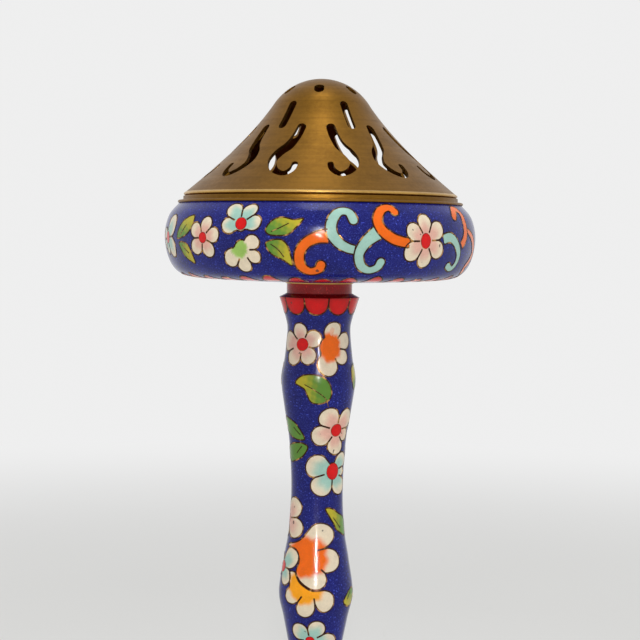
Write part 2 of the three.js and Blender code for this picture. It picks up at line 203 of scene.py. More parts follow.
foot_span = foot_top - foot_base
foot_skin = Skin(
    smooth_curve(
        [
            (between(FOOT_TOP_RADIUS, FOOT_EDGE_RADIUS, flare), foot_base + rise * foot_span)
            for rise, flare in FOOT_OUTLINE
        ],
        160,
    )
)
neck_lip = stem_top - NECK_HEIGHT
stem_curve = smooth_curve(
    [
        (radius, between(stem_base, neck_lip, share))
        for radius, share in [
            (STEM_FOOT, 0),
            (between(STEM_FOOT, LOWER_BULGE, 0.58), 0.096),
            (LOWER_BULGE, 0.168),
            (between(LOWER_BULGE, LONG_WAIST, 0.4), 0.264),
            (between(LOWER_BULGE, LONG_WAIST, 0.84), 0.35),
            (LONG_WAIST, 0.47),
            (between(UPPER_BULGE, LONG_WAIST, 0.75), 0.604),
            (between(UPPER_BULGE, LONG_WAIST, 0.31), 0.688),
            (UPPER_BULGE, 0.766),
            (between(UPPER_BULGE, UPPER_WAIST, 0.55), 0.83),
            (UPPER_WAIST, 0.904),
            (between(UPPER_WAIST, NECK_LIP, 0.21), 0.94),
            (NECK_LIP, 1),
        ]
    ],
    320,
)
stem_skin = Skin(stem_curve)
drum_skin = Skin(
    smooth_curve(
        [(NECK_COLLAR + FIT_GAP, drum_base)]
        + [(share * DRUM_RADIUS, between(drum_base, drum_top, rise)) for share, rise in DRUM_OUTLINE]
        + [(MOUTH_RADIUS, drum_top)],
        240,
    )
)
print("outline lengths", foot_skin.length, stem_skin.length, drum_skin.length)

# %% [markdown]
# Shader maths reads best as ordinary expressions. Value wraps one socket, and its operators add the Math
# nodes. Paint holds one material and makes every other node by one method.


# %% Shader expressions
class Value:
    """A number that varies over a surface."""

    def __init__(self, paint, socket):
        self.paint, self.socket = paint, socket

    def _math(self, operation, *terms):
        return self.paint.node("ShaderNodeMath", {"operation": operation}, *terms)

    def __add__(self, other):
        return self._math("ADD", self, other)

    __radd__ = __add__

    def __sub__(self, other):
        return self._math("SUBTRACT", self, other)

    def __rsub__(self, other):
        return self._math("SUBTRACT", other, self)

    def __mul__(self, other):
        return self._math("MULTIPLY", self, other)

    __rmul__ = __mul__

    def __truediv__(self, other):
        return self._math("DIVIDE", self, other)

    def __rtruediv__(self, other):
        return self._math("DIVIDE", other, self)

    def __pow__(self, power):
        return self._math("POWER", self, power)

    def over(self, edge, width):
        """0 below an edge and 1 above it, with a soft step of a width."""
        low, high = edge - width / 2, edge + width / 2
        smooth = {"interpolation_type": "SMOOTHSTEP"}
        return self.paint.node("ShaderNodeMapRange", smooth, self, low, high, 0.0, 1.0)


class Paint:
    """A material and its nodes."""

    def __init__(self, name, **constants):
        self.material = bpy.data.materials.new(name)
        self.material.use_nodes = True
        self.tree = self.material.node_tree
        self.shader = self.tree.nodes["Principled BSDF"]
        for socket, value in constants.items():
            self.shader.inputs[socket.replace("_", " ")].default_value = value

    def node(self, kind, settings, *inputs, out=0):
        made = self.tree.nodes.new(kind)
        for key, value in settings.items():
            setattr(made, key, value)
        sockets = [s for s in made.inputs if s.enabled]
        for socket, value in zip(sockets, inputs):
            self.feed(socket, value)
        return Value(self, [s for s in made.outputs if s.enabled][out])

    def feed(self, socket, value):
        if isinstance(value, Value):
            self.tree.links.new(value.socket, socket)
        elif value is not None:
            colour = socket.type == "RGBA" and len(value) == 3
            socket.default_value = (*value, 1.0) if colour else value

    def to(self, socket, value):
        self.feed(self.shader.inputs[socket], value)

    def mix(self, share, a, b):
        """Colour a where share is 0 and b where it is 1."""
        return self.node("ShaderNodeMix", {"data_type": "RGBA"}, share, a, b)

    def place(self):
        return self.node("ShaderNodeTexCoord", {}, out=3)

    def noise(self, vector, scale, detail=2.0, roughness=0.5):
        return self.node("ShaderNodeTexNoise", {}, vector, scale, detail, roughness)

    def bump(self, height, strength, distance):
        made = self.tree.nodes.new("ShaderNodeBump")
        made.inputs["Strength"].default_value = strength
        made.inputs["Distance"].default_value = distance
        self.feed(made.inputs["Height"], height)
        return Value(self, made.outputs["Normal"])


def lit(red, green, blue):
    """A colour given 0 to 255, as the linear light that Blender counts in."""
    parts = [c / 255 for c in (red, green, blue)]
    return tuple(p / 12.92 if p <= 0.04045 else ((p + 0.055) / 1.055) ** 2.4 for p in parts)


# %% [markdown]
# The brass was turned on a lathe, so its tool lines are rings: they depend on the distance from the axis
# and on the level, never on the angle. Age adds brown patches. The lid is browner than the rings.


# %% Metal finishes
def turned_metal(name, bright, dull, roughness, line_strength=0.25, patches=0.5):
    paint = Paint(name, Metallic=1.0)
    place = paint.place()
    split = paint.node("ShaderNodeSeparateXYZ", {}, place)
    x, y, z = (Value(paint, socket) for socket in split.socket.node.outputs)
    radius = (x * x + y * y) ** 0.5
    ring = paint.node("ShaderNodeCombineXYZ", {}, radius, z, 0.0)
    fine_lines = paint.noise(ring, 5200.0, 2.0, 0.6)
    broad_lines = paint.noise(ring, 900.0, 2.0, 0.5)
    streaked = paint.node("ShaderNodeCombineXYZ", {}, x * 0.16, y * 0.16, z)
    streaks = paint.noise(streaked, 620.0, 3.0, 0.6)
    clouds = paint.noise(place, 60.0, 4.0, 0.6)
    grain = paint.noise(place, 1100.0, 3.0, 0.6)
    age = (clouds * 0.4 + streaks * 0.3 + grain * 0.3).over(0.52, 0.3) * patches
    lines = (broad_lines * 0.6 + fine_lines * 0.4).over(0.5, 0.5)
    worn = paint.mix(lines * 0.45, bright, dull)
    paint.to("Base Color", paint.mix(age, worn, tuple(c * 0.55 for c in dull)))
    paint.to("Roughness", fine_lines * 0.16 + age * 0.18 + (roughness - 0.08))
    paint.to("Normal", paint.bump(fine_lines * 0.6 + broad_lines * 0.4, line_strength, 0.00006))
    return paint.material


lid_brass = turned_metal("aged_brass", lit(140, 100, 36), lit(104, 71, 23), 0.38, 0.3, 0.42)
ring_brass = turned_metal("turned_brass", lit(214, 174, 98), lit(168, 126, 60), 0.28, 0.2, 0.45)
copper_finish = turned_metal("raised_copper", lit(196, 128, 96), lit(140, 84, 60), 0.42, 0.3, 0.7)
steel_finish = turned_metal("plain_steel", lit(180, 180, 176), lit(130, 130, 128), 0.38, 0.3, 0.4)


# %% [markdown]
# The enamel is glass: a deep blue ground with a dusting of paler grains and a few painted glints, polished
# level with the wires.
# The cells of the motifs share one finish, and take their colour from an attribute that the cell maker
# writes, because the real colours are laid in wet and run into each other inside one cell.


# %% Enamel finishes
def ground_enamel(name, deep, light, grain):
    paint = Paint(name, Specular_IOR_Level=0.25)
    place = paint.place()
    clouds = paint.noise(place, 110.0, 3.0, 0.6)
    grains = paint.noise(place, 3200.0, 2.0, 0.7)
    glint_specks = paint.noise(place, 2300.0, 0.0, 0.5)
    base = paint.mix(clouds.over(0.5, 0.5), deep, light)
    speckled = paint.mix(grains.over(0.58, 0.2) * 0.45, base, grain)
    # The brightest specks are painted glints: a brighter copy of the grain colour, put into the colour
    # itself.
    glint = tuple(c * 1.9 for c in grain)
    paint.to("Base Color", paint.mix(glint_specks.over(0.75, 0.08) * 0.55, speckled, glint))
    paint.to("Roughness", grains * 0.12 + 0.12)
    paint.to("Normal", paint.bump(clouds * 0.7 + grains * 0.3, 0.12, 0.00008))
    return paint.material


def cell_enamel():
    paint = Paint("motif_enamel", Specular_IOR_Level=0.27)
    place = paint.place()
    colour = paint.node("ShaderNodeAttribute", {"attribute_name": "enamel"})
    grains = paint.noise(place, 2600.0, 2.0, 0.7)
    clouds = paint.noise(place, 520.0, 2.0, 0.5)
    shaded = paint.node(
        "ShaderNodeHueSaturation", {}, 0.5, 1.0, clouds * 0.3 + grains * 0.24 + 0.73, 1.0, colour
    )
    pits = paint.noise(place, 900.0, 0.0, 0.5)
    paint.to("Base Color", paint.mix(pits.over(0.83, 0.02) * 0.8, shaded, lit(60, 44, 40)))
    paint.to("Roughness", grains * 0.12 + 0.09)
    paint.to("Normal", paint.bump(clouds * 0.6 + grains * 0.4, 0.1, 0.00006))
    return paint.material


def wire_finish():
    paint = Paint("gilt_wire", Metallic=0.9)
    place = paint.place()
    wear_and_glints = paint.noise(place, 520.0, 3.0, 0.6)
    # Patches of gilt on dark brown: the gilt is partly worn-through gilding and partly painted glints; the
    # dark brown is partly tarnish and partly a painted dark reflection.
    paint.to("Base Color", paint.mix(wear_and_glints.over(0.58, 0.16), lit(58, 33, 20), lit(186, 140, 80)))
    paint.to("Roughness", wear_and_glints * 0.2 + 0.26)
    return paint.material


blue_enamel = ground_enamel("blue_enamel", lit(4, 8, 90), lit(11, 17, 112), lit(56, 70, 174))
red_enamel = ground_enamel("red_enamel", lit(150, 10, 14), lit(176, 16, 18), lit(206, 50, 44))
motif_enamel = cell_enamel()
gilt_wire = wire_finish()

# %% [markdown]
# Every turned piece is made the same way: one vertex is extruded from corner to corner of the section,
# and the section is spun round the axis. Corners are broken first, as a turner breaks them.


# %% Turning
SHARP_EDGE = math.radians(35)


def activate(piece):
    bpy.ops.object.select_all(action="DESELECT")
    piece.select_set(True)
    bpy.context.view_layer.objects.active = piece


def written(name, points, faces):
    """A piece from written points and faces, with its faces turned outward."""
    mesh = bpy.data.meshes.new(name)
    mesh.from_pydata(points, [], faces)
    mesh.update()
    piece = bpy.data.objects.new(name, mesh)
    bpy.context.scene.collection.objects.link(piece)
    activate(piece)
    bpy.ops.object.mode_set(mode="EDIT")
    bpy.ops.mesh.select_all(action="SELECT")
    bpy.ops.mesh.normals_make_consistent(inside=False)
    bpy.ops.object.mode_set(mode="OBJECT")
    return piece


def break_corners(section, radius, steps=3):
    """A closed section with each corner replaced by a small arc."""
    made = []
    count = len(section)
    for i in range(count):
        before, corner, after = (np.array(section[j % count], float) for j in (i - 1, i, i + 1))
        back, ahead = before - corner, after - corner
        size = min(radius, 0.45 * np.linalg.norm(back), 0.45 * np.linalg.norm(ahead))
        start = corner + back / np.linalg.norm(back) * size
        end = corner + ahead / np.linalg.norm(ahead) * size
        for k in range(steps + 1):
            t = k / steps
            made.append(tuple((1 - t) ** 2 * start + 2 * t * (1 - t) * corner + t**2 * end))
    return made


def turned(name, section, material, body, facets=144, closed=True, replaces=None):
    """A piece spun from a section of (radius, level) points, in place of a node of the solid model."""
    bpy.ops.mesh.primitive_plane_add(size=MM, location=(0, 0, 0))
    piece = bpy.context.object
    piece.name = name
    bpy.ops.object.mode_set(mode="EDIT")
    bpy.ops.mesh.select_all(action="SELECT")
    bpy.ops.mesh.merge(type="CENTER")
    path = np.array(list(section) + ([section[0]] if closed else []), float)
    bpy.ops.transform.translate(value=(path[0][0] * MM, 0, path[0][1] * MM))
    for across, up in np.diff(path, axis=0) * MM:
        bpy.ops.mesh.extrude_region_move(TRANSFORM_OT_translate={"value": (across, 0, up)})
    bpy.ops.mesh.select_all(action="SELECT")
    bpy.ops.mesh.spin(steps=facets, angle=2 * math.pi, center=(0, 0, 0), axis=(0, 0, 1))
    bpy.ops.mesh.select_all(action="SELECT")
    bpy.ops.mesh.remove_doubles(threshold=0.00001)
    bpy.ops.mesh.normals_make_consistent(inside=False)
    bpy.ops.object.mode_set(mode="OBJECT")
    bpy.ops.object.shade_smooth_by_angle(angle=SHARP_EDGE)
    piece.data.materials.append(material)
    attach(piece, body)
    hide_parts(replaces)
    return piece


def skin_section(skin, outer, inner, steps):
    """The section of a shell that lies between two depths under a skin."""
    along = np.linspace(0, skin.length, steps + 1)
    r, z, nr, nz = skin.at(along)
    lines = []
    for depth in (outer, inner):
        line = np.stack([r - nr * depth, z - nz * depth], 1)
        for end in (0, -1):
            if abs(nz[end]) > abs(nr[end]):
                line[end, 0] = r[end]
            else:
                line[end, 1] = z[end]
        lines.append(line)
    return [tuple(p) for p in lines[0]] + [tuple(p) for p in lines[1][::-1]]


# %% [markdown]
# The three blue grounds lie a hair under the full size, so that the cells and wires laid on them come up
# to it exactly.

# %% Enamel grounds
GROUND_DEPTH = 0.07
CELL_DEPTH = 0.03

bowl_ground = turned(
    "bowl_ground", skin_section(drum_skin, GROUND_DEPTH, ENAMEL, 72), blue_enamel, "stand", 192,
    replaces="bowl_enamel",
)


def stem_line(depth, steps):
    """The stem's outline at a depth, with the lip and the neck above it."""
    along = np.linspace(0, stem_skin.length, steps + 1)[:-1]
    r, z, nr, nz = stem_skin.at(along)
    line = [(a, b) for a, b in zip(r - nr * depth, z - nz * depth)]
    line[0] = (line[0][0], stem_base)
    return line + [
        (NECK_LIP - depth, neck_lip - depth / 2),
        (NECK_RADIUS - depth, neck_lip + NECK_STEP - depth / 2),
        (NECK_RADIUS - depth, stem_top),
    ]


stem_ground = turned(
    "stem_ground", stem_line(GROUND_DEPTH, 110) + stem_line(ENAMEL, 40)[::-1], blue_enamel, "stand", 128,
    replaces="stem_enamel",
)
stem_ground.data.materials.append(red_enamel)
for face in stem_ground.data.polygons:
    if face.center.z > (neck_lip - 0.5) * MM and face.center.xy.length > (NECK_RADIUS - ENAMEL) * MM:
        face.material_index = 1
foot_ground = turned(
    "foot_ground", skin_section(foot_skin, GROUND_DEPTH, ENAMEL, 60), blue_enamel, "stand", 192,
    replaces="foot_enamel",
)

# %% [markdown]
# A motif is drawn flat, in millimetres across and up, and wrapped onto the skin. Its cells are shallow
# closed bodies, and its wires closed ribbons that stand a few hundredths proud. Modelling hundreds of
# them one by one would be slow, so the inlay writes their faces itself.


# %% Inlay
WIRE_WIDTH, SLIT_WIDTH, HEART_WIRE_WIDTH = 0.46, 0.56, 0.26
RIB_WIDTH, LEAF_RIB_WIDTH = 0.28, 0.3
WIRE_TAPER = 0.8
ROOT_DEPTH = 0.3
CELL_SHARP_EDGE = math.radians(40)


def smoothstep(value, low, high):
    t = np.clip((value - low) / (high - low), 0, 1)
    return t * t * (3 - 2 * t)


def blend_colour(share, a, b):
    share = np.asarray(share)[..., None]
    return np.array(a) * (1 - share) + np.array(b) * share


class Inlay:
    """All the cells and wires on one skin."""

    def __init__(self, skin):
        self.skin = skin
        self.cell_points, self.cell_faces, self.cell_colours = [], [], []
        self.wire_points, self.wire_faces = [], []

    def _add(self, points, faces, colours=None):
        if colours is None:
            start = sum(len(p) for p in self.wire_points)
            self.wire_points.append(points)
            self.wire_faces += [[start + i for i in face] for face in faces]
        else:
            start = sum(len(p) for p in self.cell_points)
            self.cell_points.append(points)
            self.cell_colours.append(colours)
            self.cell_faces += [[start + i for i in face] for face in faces]

    def cell(self, place, centre, outline, rings, colour, depth=CELL_DEPTH):
        """A cell whose whole outline can be seen from its centre."""
        count = len(outline)
        shares = np.linspace(0, 1, rings + 1)[1:]
        flat = [centre[None, :]] + [centre + (outline - centre) * s for s in shares]
        share = np.concatenate([[0.0]] + [np.full(count, s) for s in shares])
        top = np.concatenate(flat)
        lifted = self.skin.wrap(place[0], place[1], top, -depth)
        rim = self.skin.wrap(place[0], place[1], outline, -ROOT_DEPTH)
        heart = self.skin.wrap(place[0], place[1], centre[None, :], -ROOT_DEPTH)
        points = np.concatenate([lifted, rim, heart])
        faces = []
        last = 1 + (rings - 1) * count
        low, bottom = len(top), len(top) + count
        for i in range(count):
            j = (i + 1) % count
            faces.append([0, 1 + i, 1 + j])
            for k in range(rings - 1):
                a = 1 + k * count
                faces.append([a + i, a + count + i, a + count + j, a + j])
            faces.append([last + i, low + i, low + j, last + j])
            faces.append([low + i, bottom, low + j])
        shades = colour(top, share)
        shades = np.concatenate([shades, shades[-count:], shades[:1]])
        self._add(points, faces, shades)

    def ribbon(self, place, left, right, columns, colour):
        """A cell between two edges that run side by side."""
        rows = len(left)
        share = np.linspace(0, 1, columns + 1)
        top = left[:, None, :] * (1 - share)[None, :, None] + right[:, None, :] * share[None, :, None]
        top = top.reshape(-1, 2)
        down = np.tile(np.linspace(0, 1, rows)[:, None], (1, columns + 1)).ravel()
        across = np.tile(share, rows)
        points = np.concatenate(
            [self.skin.wrap(place[0], place[1], top, -depth) for depth in (CELL_DEPTH, ROOT_DEPTH)]
        )
        faces = []
        wide, under = columns + 1, len(top)
        for i in range(rows - 1):
            for k in range(columns):
                a = i * wide + k
                faces.append([a, a + 1, a + wide + 1, a + wide])
                faces.append([under + a, under + a + wide, under + a + wide + 1, under + a + 1])
            for k, flip in ((0, False), (columns, True)):
                a = i * wide + k
                side = [a, a + wide, under + a + wide, under + a]
                faces.append(side[::-1] if flip else side)
        for i, flip in ((0, True), (rows - 1, False)):
            for k in range(columns):
                a = i * wide + k
                side = [a, a + 1, under + a + 1, under + a]
                faces.append(side if flip else side[::-1])
        shades = colour(down, across)
        self._add(points, [f[::-1] for f in faces], np.concatenate([shades, shades]))

    def wire(self, place, line, closed=True, width=WIRE_WIDTH):
        """A flat-topped wire along a line."""
        line = np.asarray(line, float)
        if closed:
            along = np.roll(line, -1, 0) - np.roll(line, 1, 0)
        else:
            along = np.gradient(line, axis=0)
        along /= np.maximum(np.linalg.norm(along, axis=1, keepdims=True), 1e-9)
        side = np.stack([-along[:, 1], along[:, 0]], 1) * width / 2
        crest = side * WIRE_TAPER
        rails = [(side, -ROOT_DEPTH), (crest, 0.0), (-crest, 0.0), (-side, -ROOT_DEPTH)]
        points = np.concatenate([self.skin.wrap(place[0], place[1], line + s, d) for s, d in rails])
        count = len(line)
        faces = []
        for i in range(count if closed else count - 1):
            j = (i + 1) % count
            for k in range(4):
                a, b = k * count, ((k + 1) % 4) * count
                faces.append([a + i, b + i, b + j, a + j])
        if not closed:
            faces.append([3 * count, 2 * count, count, 0])
            faces.append([count - 1, 2 * count - 1, 3 * count - 1, 4 * count - 1])
        self._add(points, faces)

    def finish(self, name, body):
        """Makes the cells and the wires of this skin two pieces."""
        for part, points, faces, material in (
            ("cells", self.cell_points, self.cell_faces, motif_enamel),
            ("wires", self.wire_points, self.wire_faces, gilt_wire),
        ):
            piece = written(f"{name}_{part}", (np.concatenate(points) * MM).tolist(), faces)
            if part == "cells":
                colours = np.concatenate(self.cell_colours)
                rgba = np.concatenate([colours, np.ones((len(colours), 1))], 1)
                layer = piece.data.attributes.new("enamel", "FLOAT_COLOR", "POINT")
                layer.data.foreach_set("color", rgba.astype(np.float32).ravel())
            piece.data.materials.append(material)
            bpy.ops.object.shade_smooth_by_angle(angle=CELL_SHARP_EDGE)
            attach(piece, body)
            print(name, part, len(faces), "faces")


# %% [markdown]
# The palette, from the lit parts of the photograph, and the shapes: a flower whose petals
# meet in short slits, a round or pointed leaf in two greens, a scroll with a bulb at its end, and the red
# lappet that edges the bowl and the neck.

# %% Palette and shapes
CREAM, PINK = lit(232, 216, 188), lit(226, 176, 158)
TURQUOISE, LIGHT_GREEN = lit(160, 200, 186), lit(156, 194, 94)
ORANGE, AMBER, RED = lit(240, 104, 0), lit(250, 162, 10), lit(222, 2, 4)
LEAF_GREEN, LEAF_YELLOW = lit(92, 138, 48), lit(188, 174, 42)


def petal_reach(angle, half, size, slim):
    """How far an oval petal reaches at an angle from its middle, between lines at half on each side."""
    long = size / (1 + math.sqrt(1 + (slim / math.tan(half)) ** 2))
    wide, middle = slim * long, size - long
    a = math.cos(angle) ** 2 / long**2 + math.sin(angle) ** 2 / wide**2
    b = middle * math.cos(angle) / long**2
    return (b + math.sqrt(max(b * b - a * (middle**2 / long**2 - 1), 0))) / a


PETAL_SPREAD = 44


def flower_outline(petals, open_reach, slim):
    """Points round a flower, and its notches: petals are (angle, reach) in degrees and millimetres."""
    petals = sorted((angle % 360, size) for angle, size in petals)
    count = len(petals)
    points, notches = [], []
    for i, (angle, size) in enumerate(petals):
        before = (angle - petals[i - 1][0]) % 360 or 360
        after = (petals[(i + 1) % count][0] - angle) % 360 or 360
        for k in range(17):
            x = -math.cos(math.pi * k / 16) * 0.995
            half = math.radians(min((before if x < 0 else after) / 2, PETAL_SPREAD))
            radius = petal_reach(abs(half * x), half, size, slim)
            turn = math.radians(angle) + half * x
            points.append((radius * math.cos(turn), radius * math.sin(turn)))
        if after > 2 * PETAL_SPREAD + 12:
            for share in np.linspace(0.12, 0.88, 7):
                turn = math.radians(angle + between(PETAL_SPREAD, after - PETAL_SPREAD, share))
                points.append((open_reach * math.cos(turn), open_reach * math.sin(turn)))
        else:
            notches.append((math.radians(angle + after / 2), radius))
    return np.array(points), notches


def ragged_edge(across, up):
    """The small waves at the edge of a tint that was laid in wet."""
    angle = np.arctan2(up, across)
    return 0.05 * np.sin(5 * angle + 1) + 0.04 * np.sin(11 * angle)


def flower(
    inlay, place, petals, tint=PINK, tint_to=0.75, heart=1.5, oval=1.0, open_reach=None, blob=None,
        slit=0.5,
    slim=0.97,
):
    """A flower at a place: petals are (angle, reach).

    Its tint ends at a share of each petal, or at the edge of a blob: middle, and spread across and up.
    """
    outline, notches = flower_outline(petals, open_reach or heart * 1.25, slim)

    def petal_colour(flat, share):
        ragged = ragged_edge(flat[:, 0], flat[:, 1])
        if blob:
            far = np.hypot((flat[:, 0] - blob[0]) / blob[2], (flat[:, 1] - blob[1]) / blob[3])
            return blend_colour(smoothstep(far + ragged, 0.82, 1.1), tint, CREAM)
        return blend_colour(smoothstep(share + ragged, tint_to - 0.3, tint_to + 0.12), tint, CREAM)

    centre = np.zeros(2)
    inlay.cell(place, centre, outline, 12 if blob else 8, petal_colour)
    inlay.wire(place, outline)
    for angle, radius in notches:
        reach_in = np.linspace(radius * 1.04, max(radius * slit, heart * 1.15), 6)[:, None]
        ray = np.array([[math.cos(angle), math.sin(angle)]])
        inlay.wire(place, reach_in * ray, closed=False, width=SLIT_WIDTH)
    if heart:
        turn = np.linspace(0, 2 * math.pi, 25)[:-1]
        disc = np.stack([heart * np.cos(turn), heart * oval * np.sin(turn)], 1)
        inlay.cell(
            place, centre, disc, 3,
            lambda flat, share: blend_colour(share * 0.35, RED, [c * 0.6 for c in RED]),
            depth=-0.005,
        )
        inlay.wire(place, disc, width=HEART_WIRE_WIDTH)


def strip_edges(line, widths, steps, round_ends=(True, True)):
    """The two edges of a strip along a line, rounded at its ends."""
    spine = smooth_curve(line, steps)
    along = np.gradient(spine, axis=0)
    along /= np.maximum(np.linalg.norm(along, axis=1, keepdims=True), 1e-9)
    length = np.concatenate([[0], np.cumsum(np.linalg.norm(np.diff(spine, axis=0), axis=1))])
    place = np.linspace(0, 1, len(widths))
    width = np.interp(np.linspace(0, 1, steps + 1), place, widths)
    rows = [(spine[i], along[i], width[i]) for i in range(steps + 1)]
    cap_start, cap_end = [], []
    for k in range(1, 6):
        turn = math.pi / 2 * k / 5
        out, narrow = math.sin(turn) / 2, max(math.cos(turn), 0.06)
        if round_ends[0]:
            cap_start.insert(0, (spine[0] - along[0] * width[0] * out, along[0], width[0] * narrow))
        if round_ends[1]:
            cap_end.append((spine[-1] + along[-1] * width[-1] * out, along[-1], width[-1] * narrow))
    rows = cap_start + rows + cap_end
    points = np.array([r[0] for r in rows])
    normal = np.array([[-r[1][1], r[1][0]] for r in rows])
    half = np.array([r[2] for r in rows])[:, None] / 2
    return points + normal * half, points - normal * half


def scroll(inlay, place, line, widths, colour, round_ends=(True, True)):
    """A curling scroll along flat points."""
    left, right = strip_edges(line, widths, 40, round_ends)

    def shade(down, across):
        edge = np.abs(across - 0.5) * 2
        return blend_colour(smoothstep(edge, 0.5, 1.1) * 0.5, colour, [c * 0.8 for c in colour])

    inlay.ribbon(place, left, right, 5, shade)
    inlay.wire(place, np.concatenate([left, right[::-1]]))


def leaf_colour(base, tip, tip_colour=LEAF_YELLOW):
    """Green at the base and along one side, as a rule yellow towards the tip."""
    base, axis = np.array(base, float), np.array(tip, float) - np.array(base, float)
    size = np.linalg.norm(axis)

    def shade(flat, share):
        along = (flat - base) @ axis / size**2
        aside = (flat - base) @ np.array([-axis[1], axis[0]]) / size**2
        x, y = flat.T
        mottle = 0.09 * np.sin(3.1 * x + 1.7 * y) * np.sin(2.3 * y - 1.1 * x)
        return blend_colour(smoothstep(along + 0.7 * aside + mottle, 0.16, 0.84), LEAF_GREEN, tip_colour)

    return shade


def leaf(inlay, place, base, tip, width, bend=0.12):
    """A pointed leaf from base to tip."""
    base, tip = np.array(base, float), np.array(tip, float)
    along = tip - base
    size = np.linalg.norm(along)
    side = np.array([-along[1], along[0]]) / size
    share = np.linspace(0, 1, 22)
    spine = base + along * share[:, None] + side * (bend * size * np.sin(math.pi * share))[:, None]
    half = (width / 2 * np.sin(math.pi * share**0.72) ** 0.75 * (1 - 0.25 * share))[:, None]
    outline = np.concatenate([spine + side * half, (spine - side * half)[-2:0:-1]])
    inlay.cell(place, spine[9], outline, 6, leaf_colour(base, tip))
    inlay.wire(place, outline)
    inlay.wire(place, spine[2:14], closed=False, width=RIB_WIDTH)


def smooth_loop(points, steps=8):
    """A closed smooth curve through points."""
    around = list(points[-2:]) + list(points) + list(points[:3])
    curve = smooth_curve(around, steps * (len(around) - 1))
    return curve[2 * steps : (2 + len(points)) * steps]


def lappets(inlay, count, along, drop, width_share, first_azimuth, up=False, uneven=0.0):
    """A row of red half-round petals that hang from a line round the skin, or stand on it."""
    radius = float(inlay.skin.at(along)[0])
    half = math.pi * radius / count * width_share
    turn = np.linspace(0, math.pi, 19)
    sense = 1 if up else -1
    for i in range(count):
        tall = sense * drop * (1 + uneven * math.sin(1.47 * i - 1.36))
        arch = np.stack([half * np.cos(turn), tall * np.sin(turn) ** 0.8], 1)
        root = np.array([[-half * 0.5, 0], [0, 0], [half * 0.5, 0]])
        place = (first_azimuth + 2 * math.pi * i / count, along)
        inlay.cell(
            place, np.array([0.0, tall * 0.35]), np.concatenate([arch, root]), 4,
            lambda flat, share: blend_colour(smoothstep(share, 0.4, 1.1) * 0.5, RED, lit(150, 10, 16)),
        )
        inlay.wire(place, arch, closed=False)


# %% [markdown]
# Where each motif sits is read off the photograph, in its own pixels. The far side of the burner isn't
# seen, so the same band of motifs goes round again half a turn on, as such bands repeat on real pieces.


# %% Motifs from the photograph
def on_sides(place, sides=2):
    """A place on the seen side and, for two sides, the one half a turn on."""
    return [(place[0] + math.pi * half_turns, place[1]) for half_turns in range(sides)]


def photo_flower(inlay, centre, petals, tip=1.9, hidden=(), sides=2, **look):
    """A flower from the pixels of its centre and of its petals' middles.

    A tip is how far the petals reach past their middles. Hidden petals are (angle, reach).
    """
    place = inlay.skin.seen(*centre)
    reaches = []
    for x, y in petals:
        across, up = inlay.skin.flat_from(place, x, y)
        reaches.append((math.degrees(math.atan2(up, across)), math.hypot(across, up) + tip))
    for spot in on_sides(place, sides):
        flower(inlay, spot, reaches + list(hidden), **look)


def photo_scroll(inlay, line, widths, colour, round_ends=(True, True), sides=2):
    place = inlay.skin.seen(*line[len(line) // 2])
    flat = [inlay.skin.flat_from(place, x, y) for x, y in line]
    for spot in on_sides(place, sides):
        scroll(inlay, spot, flat, widths, colour, round_ends)


def photo_leaf(inlay, outline, base, tip, rib, sides=2, **look):
    """A leaf from the pixels of its outline, of its base and tip, and of its rib."""
    middle = np.mean(outline, axis=0)
    place = inlay.skin.seen(*middle)
    edge = smooth_loop([inlay.skin.flat_from(place, x, y) for x, y in outline])
    ends = [inlay.skin.flat_from(place, x, y) for x, y in (base, tip)]
    spine = smooth_curve([inlay.skin.flat_from(place, x, y) for x, y in rib], 12)
    for spot in on_sides(place, sides):
        inlay.cell(spot, edge.mean(axis=0), edge, 12, leaf_colour(*ends, **look))
        inlay.wire(spot, edge)
        inlay.wire(spot, spine, closed=False, width=LEAF_RIB_WIDTH)


def photo_blossom(inlay, centre, outline, notches, tint, blob):
    """A flower cell that others cut into, from the pixels of its outline and of its notches.

    A blob is the middle of its tint, in pixels, and how far that spreads across and up in millimetres.
    """
    place = inlay.skin.seen(*centre)
    edge = smooth_loop([inlay.skin.flat_from(place, x, y) for x, y in outline], 5)
    middle = inlay.skin.flat_from(place, *blob[:2])

    def tinted(flat, share):
        across, up = (flat - middle).T
        far = np.hypot(across / blob[2], up / blob[3])
        return blend_colour(smoothstep(far + ragged_edge(across, up), 0.82, 1.08), tint, CREAM)

    for spot in on_sides(place):
        inlay.cell(spot, np.zeros(2), edge, 12, tinted)
        inlay.wire(spot, edge)
    for ends in notches:
        slit = smooth_curve([inlay.skin.flat_from(place, x, y) for x, y in ends], 6)
        for spot in on_sides(place):
            inlay.wire(spot, slit, closed=False, width=SLIT_WIDTH)


drum = Inlay(drum_skin)
photo_flower(
    drum, centre=(168, 237), petals=[(173.4, 222.5), (173, 249)], tip=2.1,
    hidden=[(165, 4.6), (215, 4.6), (258, 4.6)], tint=TURQUOISE,
)
photo_leaf(
    drum, base=(178, 238), tip=(194, 215.5), rib=[(180, 235), (187, 224)],
    outline=[(177, 237.5), (180, 226), (186, 218.5), (194.5, 215), (192.5, 225), (187.5, 233), (182, 237)],
)
photo_leaf(
    drum, base=(179, 243), tip=(195, 262.5), rib=[(182, 245), (189, 253)],
    outline=[(179, 242.5), (185.5, 243), (190.5, 250), (195.5, 263), (188, 259), (182.5, 252)],
)
photo_flower(
    drum, centre=(202.4, 237.5), petals=[(206.8, 223.5), (213, 234.5), (209, 250), (196, 247),
        (195.5, 229.5)],
    heart=1.3,
)
photo_flower(
    drum, centre=(241, 223.5), petals=[(234, 209), (251.5, 209.5), (227.5, 224.5), (254.5, 221.5)], tip=1.8,
    tint=TURQUOISE, tint_to=0.85,
)
photo_flower(
    drum, centre=(243, 250), petals=[(253, 242), (254.5, 257), (244.5, 266.5), (231, 260.5)], tip=1.7,
    tint=LIGHT_GREEN, heart=0, open_reach=2.5, blob=(-1.1, 0.4, 2.3, 2.5), slit=0.6,
)
